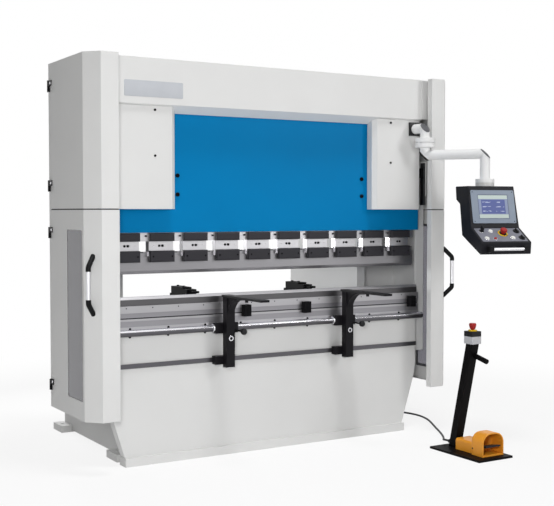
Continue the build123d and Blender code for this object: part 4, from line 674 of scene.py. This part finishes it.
foilCurve = bpy.data.curves.new("deskFoil", "CURVE")
foilCurve.dimensions = "2D"
foilCurve.fill_mode = "BOTH"
foilCurve.extrude = deskLook["thick"] / 2 * mm
foilSize = [deskLook[way] - 2 * deskLook["margin"] for way in ("width", "length")]
foilLoops = [roundedOutline(foilSize, deskLook["corner"])]
holeAngles = [2 * math.pi * i / deskLook["holeSides"] for i in range(deskLook["holeSides"])]
for spot in deskSpots.values():
    x, y = deskPlace(spot)
    foilLoops.append([(x + spot[2] * math.cos(a), y + spot[2] * math.sin(a)) for a in holeAngles])
for loop in foilLoops:
    line = foilCurve.splines.new("POLY")
    line.points.add(len(loop) - 1)
    for knot, (x, y) in zip(line.points, loop):
        knot.co = (x * mm, y * mm, 0.0, 1.0)
    line.use_cyclic_u = True
foilCutter = bpy.data.objects.new("foilCutter", foilCurve)
scene.collection.objects.link(foilCutter)
bpy.context.view_layer.update()
foilShape = bpy.data.meshes.new_from_object(foilCutter.evaluated_get(bpy.context.evaluated_depsgraph_get()))
bpy.data.objects.remove(foilCutter)
mesh = bmesh.new()
mesh.from_mesh(foilShape)
makePiece("deskFoil", mesh, "pendant", "bezel_plastic", "deskSheet",
          deskFrame @ Matrix.Translation((0, 0, deskLook["thick"] / 2 * mm)))

# rings round controls of the desk: outer and inner radius and height of each
ringLook = {"soften": 0.5, "sides": 40, "white": (16.0, 12.6, 2.6), "selector": (19.5, 17.6, 2.0)}
deskRings = {
    "buttonRings": {"rings": {"whiteUpper": ringLook["white"], "whiteLeft": ringLook["white"],
                              "whiteRight": ringLook["white"], "red": (12.0, 8.6, 2.4)},
                    "slot": "bright_steel", "finish": "rodSteel"},
    "selectorRings": {"rings": {"selectorUpper": ringLook["selector"], "selectorLower": ringLook["selector"]},
                      "slot": "black_plastic", "finish": "blackNylon"},
    "stopCollar": {"rings": {"stop": (28.9, 21.5, 3.6)}, "slot": "red_plastic", "finish": "yellowAbs"},
    "keyCollar": {"rings": {"key": (16.3, 8.8, 2.4)}, "slot": "bright_steel", "finish": "rodSteel"},
}
for name, look in deskRings.items():
    mesh = bmesh.new()
    for control, (outer, inner, height) in look["rings"].items():
        spot = deskFrame @ Matrix.Translation(Vector((*deskPlace(deskSpots[control]), 0)) * mm)
        spinProfile(mesh, ringProfile(outer, inner, height, ringLook["soften"]), spot, ringLook["sides"])
    makePiece(name, mesh, "pendant", look["slot"], look["finish"])
print("pendant dressed")

# bright ring bolts on the support columns and split clamp rings on the rod beside each carriage
supportPlaces = {"left": -330.0, "right": 455.0}
boltLook = {"outer": 14.5, "inner": 8.0, "height": 6.0, "soften": 1.2, "z": 650.0, "y": -715.0, "sides": 32}
boltProfile = ringProfile(boltLook["outer"], boltLook["inner"], boltLook["height"], boltLook["soften"])
splitLook = {"outer": 25.0, "inner": 18.6, "width": 10.0, "soften": 1.5, "y": -645.0, "z": 703.0,
             "beside": 70.0, "open": 75.0, "steps": 36}
# section of the split ring: radius and place along the rod
outer, inner, width, soften = [splitLook[key] for key in ("outer", "inner", "width", "soften")]
splitSection = [(inner, 0.0), (outer - soften, 0.0), (outer, soften), (outer, width - soften),
                (outer - soften, width), (inner, width)]
splitTurns = [math.radians(splitLook["open"] + (360 - 2 * splitLook["open"]) * step / splitLook["steps"])
              for step in range(splitLook["steps"] + 1)]
for side, x in supportPlaces.items():
    turnedSet(f"{side}ArmRing", dict(boltLook, profile=boltProfile, normal=front,
                                     places=[(x, boltLook["y"], boltLook["z"])]),
              f"support_arm_{side}", *brightScrew)
    start = x - splitLook["beside"] - width
    mesh = bmesh.new()
    closedSkin(mesh, [[mesh.verts.new(Vector((start + along, splitLook["y"] + radius * math.cos(turn),
                                              splitLook["z"] + radius * math.sin(turn))) * mm)
                       for radius, along in splitSection] for turn in splitTurns])
    makePiece(f"{side}RodRing", mesh, f"support_arm_{side}", *brightScrew)

# adjusting screws on the gauge fingers
fingerPlaces = {"left": -416.0, "right": 359.0}
fingerLook = {"radius": 8.0, "height": 6.0, "normal": upward, "depths": (-235.0, -310.0), "z": 909.0}
for side, x in fingerPlaces.items():
    places = [(x, y, fingerLook["z"]) for y in fingerLook["depths"]]
    turnedSet(f"{side}FingerScrews", dict(fingerLook, places=places), f"finger_{side}", *oxideScrew)

# rubber ribs across the pedal, from its low end to its high end
treadLook = {"size": (92.0, 5.0), "corner": 2.3, "thick": 2.2, "soften": 1.0, "low": (875.0, -1400.0, 54.3),
             "high": (875.0, -1460.0, 67.4), "count": 6}
pedalRun = Vector(treadLook["high"]) - Vector(treadLook["low"])
mesh = bmesh.new()
for rib in range(treadLook["count"]):
    spot = Vector(treadLook["low"]) + pedalRun * rib / (treadLook["count"] - 1)
    roundedPlate(mesh, treadLook, framed(spot, pedalRun.cross(Vector(across)), across))
makePiece("pedalTread", mesh, "foot_pedal", "black_plastic", "blackNylon")

# rubber seals along the top of the lower doors, closing the gap under the upper ones
sealLook = {"plan": [(1163, -220), (1163, -710), (1095, -785), (1000, -785), (1000, -745)], "z": 1346.0,
            "section": [(3.0, -0.4), (3.0, 4.0), (4.2, 5.4), (12.8, 5.4), (14.0, 4.0), (14.0, -0.4)]}
sealPlan = [Vector(point) for point in sealLook["plan"]]
sealRuns = [end - start for start, end in zip(sealPlan, sealPlan[1:])]
inward = [Vector((run.y, -run.x)).normalized() for run in sealRuns]
for side, sign in hands:
    mesh = bmesh.new()
    rows = []
    for i, corner in enumerate(sealPlan):
        before, after = inward[max(i - 1, 0)], inward[min(i, len(inward) - 1)]
        mitre = (before + after) / (1 + before.dot(after))
        rows.append([mesh.verts.new(Vector((sign * (corner.x + mitre.x * inset), corner.y + mitre.y * inset,
                                            sealLook["z"] + height)) * mm)
                     for inset, height in sealLook["section"]])
    closedSkin(mesh, rows)
    makePiece(f"{side}DoorSeal", mesh, f"door_lower_{side}", "black_plastic", "sealRubber")

# folded strips that close the gap between the crossbeam and the upper doors
stripLook = {"plan": [(985.2, -690.0), (985.2, -712.0), (1040.0, -712.0), (1040.0, -710.5), (986.7, -710.5),
                      (986.7, -690.0)], "levels": (1892.5, 2125.5)}
for side, sign in hands:
    mesh = bmesh.new()
    closedSkin(mesh, [[mesh.verts.new(Vector((sign * x, y, z)) * mm) for x, y in stripLook["plan"]]
                      for z in stripLook["levels"]])
    makePiece(f"{side}ClosingStrip", mesh, "base", "grey_paint", "greyPowder")

# quarter-turn locks and hinge barrels of the cabinet's door
lockLook = {"normal": (1, 0, 0), "sides": 32, "places": [(1153.0, 172.0, z) for z in (860.0, 1540.0)],
            "profile": [(0, -0.3), (17, -0.3), (17, 2.2), (15.5, 3.4), (12.5, 3.4), (12, 2.0), (7, 2.0),
                        (6.5, 3.2), (0, 3.2)]}
turnedSet("cabinetLocks", lockLook, "base", "black_plastic", "blackNylon")
barrelLook = {"normal": upward, "sides": 20, "places": [(1153.0, -156.0, z) for z in (840.0, 1560.0)],
              "profile": [(0, -34), (4.2, -34), (5.2, -33), (5.2, -11.4), (4.6, -11), (4.6, -10.6),
                          (5.2, -10.2), (5.2, 10.2), (4.6, 10.6), (4.6, 11), (5.2, 11.4), (5.2, 33),
                          (4.2, 34), (0, 34)]}
turnedSet("cabinetHinges", barrelLook, "base", "grey_paint", "greyPowder")

# oil tank: bolted cover, level gauge and filler on its rear and lid
hatchLook = {"size": (430.0, 230.0), "corner": 18.0, "thick": 8.0, "soften": 1.5,
             "place": (130.0, 180.0, 1570.0),
             "bolts": [(x, z) for x in (-190, -95, 0, 95, 190) for z in (-90, 90)] + [(-190, 0), (190, 0)]}
platePiece("tankHatch", hatchLook, rear, "grey_paint", "greyPowder")
hatchX, hatchY, hatchZ = hatchLook["place"]
hatchFront = hatchY + hatchLook["thick"]
hatchBolts = {"radius": 8.0, "height": 6.0, "normal": rear,
              "places": [(hatchX + x, hatchFront, hatchZ + z) for x, z in hatchLook["bolts"]]}
turnedSet("hatchBolts", hatchBolts, "base", *oxideScrew)
levelLook = {"size": (32.0, 150.0), "corner": 8.0, "thick": 12.0, "soften": 2.0,
             "place": (540.0, 180.0, 1560.0)}
platePiece("oilLevelBody", levelLook, rear, "black_plastic", "blackNylon")
levelX, levelY, levelZ = levelLook["place"]
levelFront = levelY + levelLook["thick"]
glassLook = {"size": (14.0, 90.0), "corner": 6.5, "thick": 1.2, "soften": 0.4,
             "place": (levelX, levelFront, levelZ)}
platePiece("oilLevelGlass", glassLook, rear, "bezel_plastic", "yellowAbs")
levelBolts = {"radius": 8.0, "height": 5.0, "normal": rear,
              "places": [(levelX, levelFront, levelZ + above) for above in (-60.0, 60.0)]}
turnedSet("oilLevelBolts", levelBolts, "base", *brightScrew)
fillerLook = {"normal": upward, "places": [(430.0, 40.0, 1760.0)], "sides": 40,
              "profile": [(0, -0.3), (46, -0.3), (46, 5), (44.5, 6.5), (34, 6.5), (34, 20), (41, 21),
                          (42.5, 23), (42.5, 48), (40, 53), (30, 56), (0, 57)]}
turnedSet("tankFiller", fillerLook, "base", "black_plastic", "blackNylon")

# terminal box on the pump motor, with its lid
boxLook = {"size": (104.0, 92.0), "corner": 8.0, "thick": 42.0, "soften": 2.0,
           "place": (-350.0, 60.0, 1900.0)}
boxX, boxY, boxZ = boxLook["place"]
lidLook = {"size": (110.0, 98.0), "corner": 8.0, "thick": 9.0, "soften": 2.0,
           "place": (boxX, boxY + boxLook["thick"], boxZ)}
mesh = bmesh.new()
for look in (boxLook, lidLook):
    roundedPlate(mesh, look, facing(look["place"], rear))
makePiece("motorTerminalBox", mesh, "base", "black_steel", "motorPowder")
lidFront = lidLook["place"][1] + lidLook["thick"]
lidScrews = {"radius": 4.5, "height": 3.0, "normal": rear, "sides": 16,
             "places": [(boxX + x, lidFront, boxZ + z) for x in (-45.0, 45.0) for z in (-39.0, 39.0)]}
turnedSet("terminalBoxScrews", lidScrews, "base", *brightScrew)

# screws through the flanges of the side housings into the side plates
flangeLook = {"radius": 5.5, "height": 4.0, "sides": 16, "x": 850.0, "y": -186.0,
              "levels": (330, 640, 960, 1280, 1600, 1920, 2090)}
for side, sign in hands:
    places = [(sign * flangeLook["x"], flangeLook["y"], z) for z in flangeLook["levels"]]
    turnedSet(f"{side}HousingScrews", dict(flangeLook, normal=(sign, 0, 0), places=places), "base",
              *oxideScrew)
print("small pieces done")


# one where a ray comes from the camera, a mirror or through glass
def seenRays(tree):
    path = addNode(tree, "ShaderNodeLightPath")
    seen = path.outputs["Is Camera Ray"]
    for kind in ("Is Glossy Ray", "Is Transmission Ray"):
        seen = addNode(tree, "ShaderNodeMath", {"operation": "MAXIMUM"}, {},
                       {0: seen, 1: path.outputs[kind]}).outputs[0]
    return seen


# pale floor that keeps the shadow, nearly white to the camera and wholly white further out
floorLook = {"size": 30000.0, "colour": "f4f4f4", "shade": "efefef", "cloudMm": 900.0, "roughness": 0.9,
             "centre": (100.0, -500.0, 0.0), "nearMm": 1700.0, "farMm": 4200.0, "nearWhite": 0.84}
floorMesh = bmesh.new()
bmesh.ops.create_grid(floorMesh, x_segments=2, y_segments=2, size=floorLook["size"] / 2 * mm)
floorData = bpy.data.meshes.new("studioFloor")
floorMesh.to_mesh(floorData)
floorMesh.free()
studioFloor = bpy.data.objects.new("studioFloor", floorData)
scene.collection.objects.link(studioFloor)
floorFinish, floorTree, floorShader, floorPlace = startFinish("paleStudioFloor")
floorClouds = addNode(floorTree, "ShaderNodeTexNoise", {}, {"Scale": 1 / (floorLook["cloudMm"] * mm)},
                      {"Vector": floorPlace})
floorTone = addNode(floorTree, "ShaderNodeMix", {"data_type": "RGBA"},
                    {6: linear(floorLook["colour"]), 7: linear(floorLook["shade"])},
                    {0: floorClouds.outputs["Fac"]})
floorTree.links.new(floorTone.outputs[2], floorShader.inputs["Base Color"])
floorShader.inputs["Roughness"].default_value = floorLook["roughness"]
floorGlow = addNode(floorTree, "ShaderNodeEmission", {}, {"Strength": 1.0})
floorReach = addNode(floorTree, "ShaderNodeVectorMath", {"operation": "DISTANCE"},
                     {1: Vector(floorLook["centre"]) * mm}, {0: floorPlace})
floorWhite = addNode(floorTree, "ShaderNodeMapRange", {"interpolation_type": "SMOOTHSTEP"},
                     {"From Min": floorLook["nearMm"] * mm, "From Max": floorLook["farMm"] * mm,
                      "To Min": floorLook["nearWhite"], "To Max": 1.0},
                     {"Value": floorReach.outputs["Value"]})
floorShare = addNode(floorTree, "ShaderNodeMath", {"operation": "MULTIPLY"}, {},
                     {0: floorWhite.outputs["Result"], 1: seenRays(floorTree)})
floorMix = addNode(floorTree, "ShaderNodeMixShader", {}, {},
                   {0: floorShare.outputs["Value"], 1: floorShader.outputs["BSDF"],
                    2: floorGlow.outputs["Emission"]})
floorTree.links.new(floorMix.outputs["Shader"], floorTree.nodes["Material Output"].inputs["Surface"])
floorData.materials.append(floorFinish)

# even room, a high soft lamp over the front, one on each side of the camera and one behind the machine
roomLevel = 0.15
world = bpy.data.worlds.new("studioRoom")
scene.world = world
world.use_nodes = True
worldTree = world.node_tree
roomNode = worldTree.nodes["Background"]
roomNode.inputs["Color"].default_value = linear("ffffff")
roomStrength = addNode(worldTree, "ShaderNodeMapRange", {}, {"To Min": roomLevel, "To Max": 1.0},
                       {"Value": seenRays(worldTree)})
worldTree.links.new(roomStrength.outputs["Result"], roomNode.inputs["Strength"])
lampTarget = (0.0, -620.0, 1200.0)
lampLook = {"highLamp": {"place": (0.0, -2400.0, 8000.0), "power": 245.0, "size": 1600.0},
            "leftLamp": {"place": (-2600.0, -4400.0, 1500.0), "power": 70.0, "size": 900.0},
            "rightLamp": {"place": (2800.0, -4400.0, 2600.0), "power": 46.0, "size": 1400.0},
            "rearLamp": {"place": (-740.0, 2000.0, 1300.0), "power": 24.0, "size": 500.0}}
for name, look in lampLook.items():
    lampData = bpy.data.lights.new(name, "AREA")
    lampData.energy = look["power"]
    lampData.shape = "DISK"
    lampData.size = look["size"] * mm
    lamp = bpy.data.objects.new(name, lampData)
    lamp.matrix_world = facing(look["place"], Vector(look["place"]) - Vector(lampTarget))
    scene.collection.objects.link(lamp)
print("room lit")

bpy.context.view_layer.update()
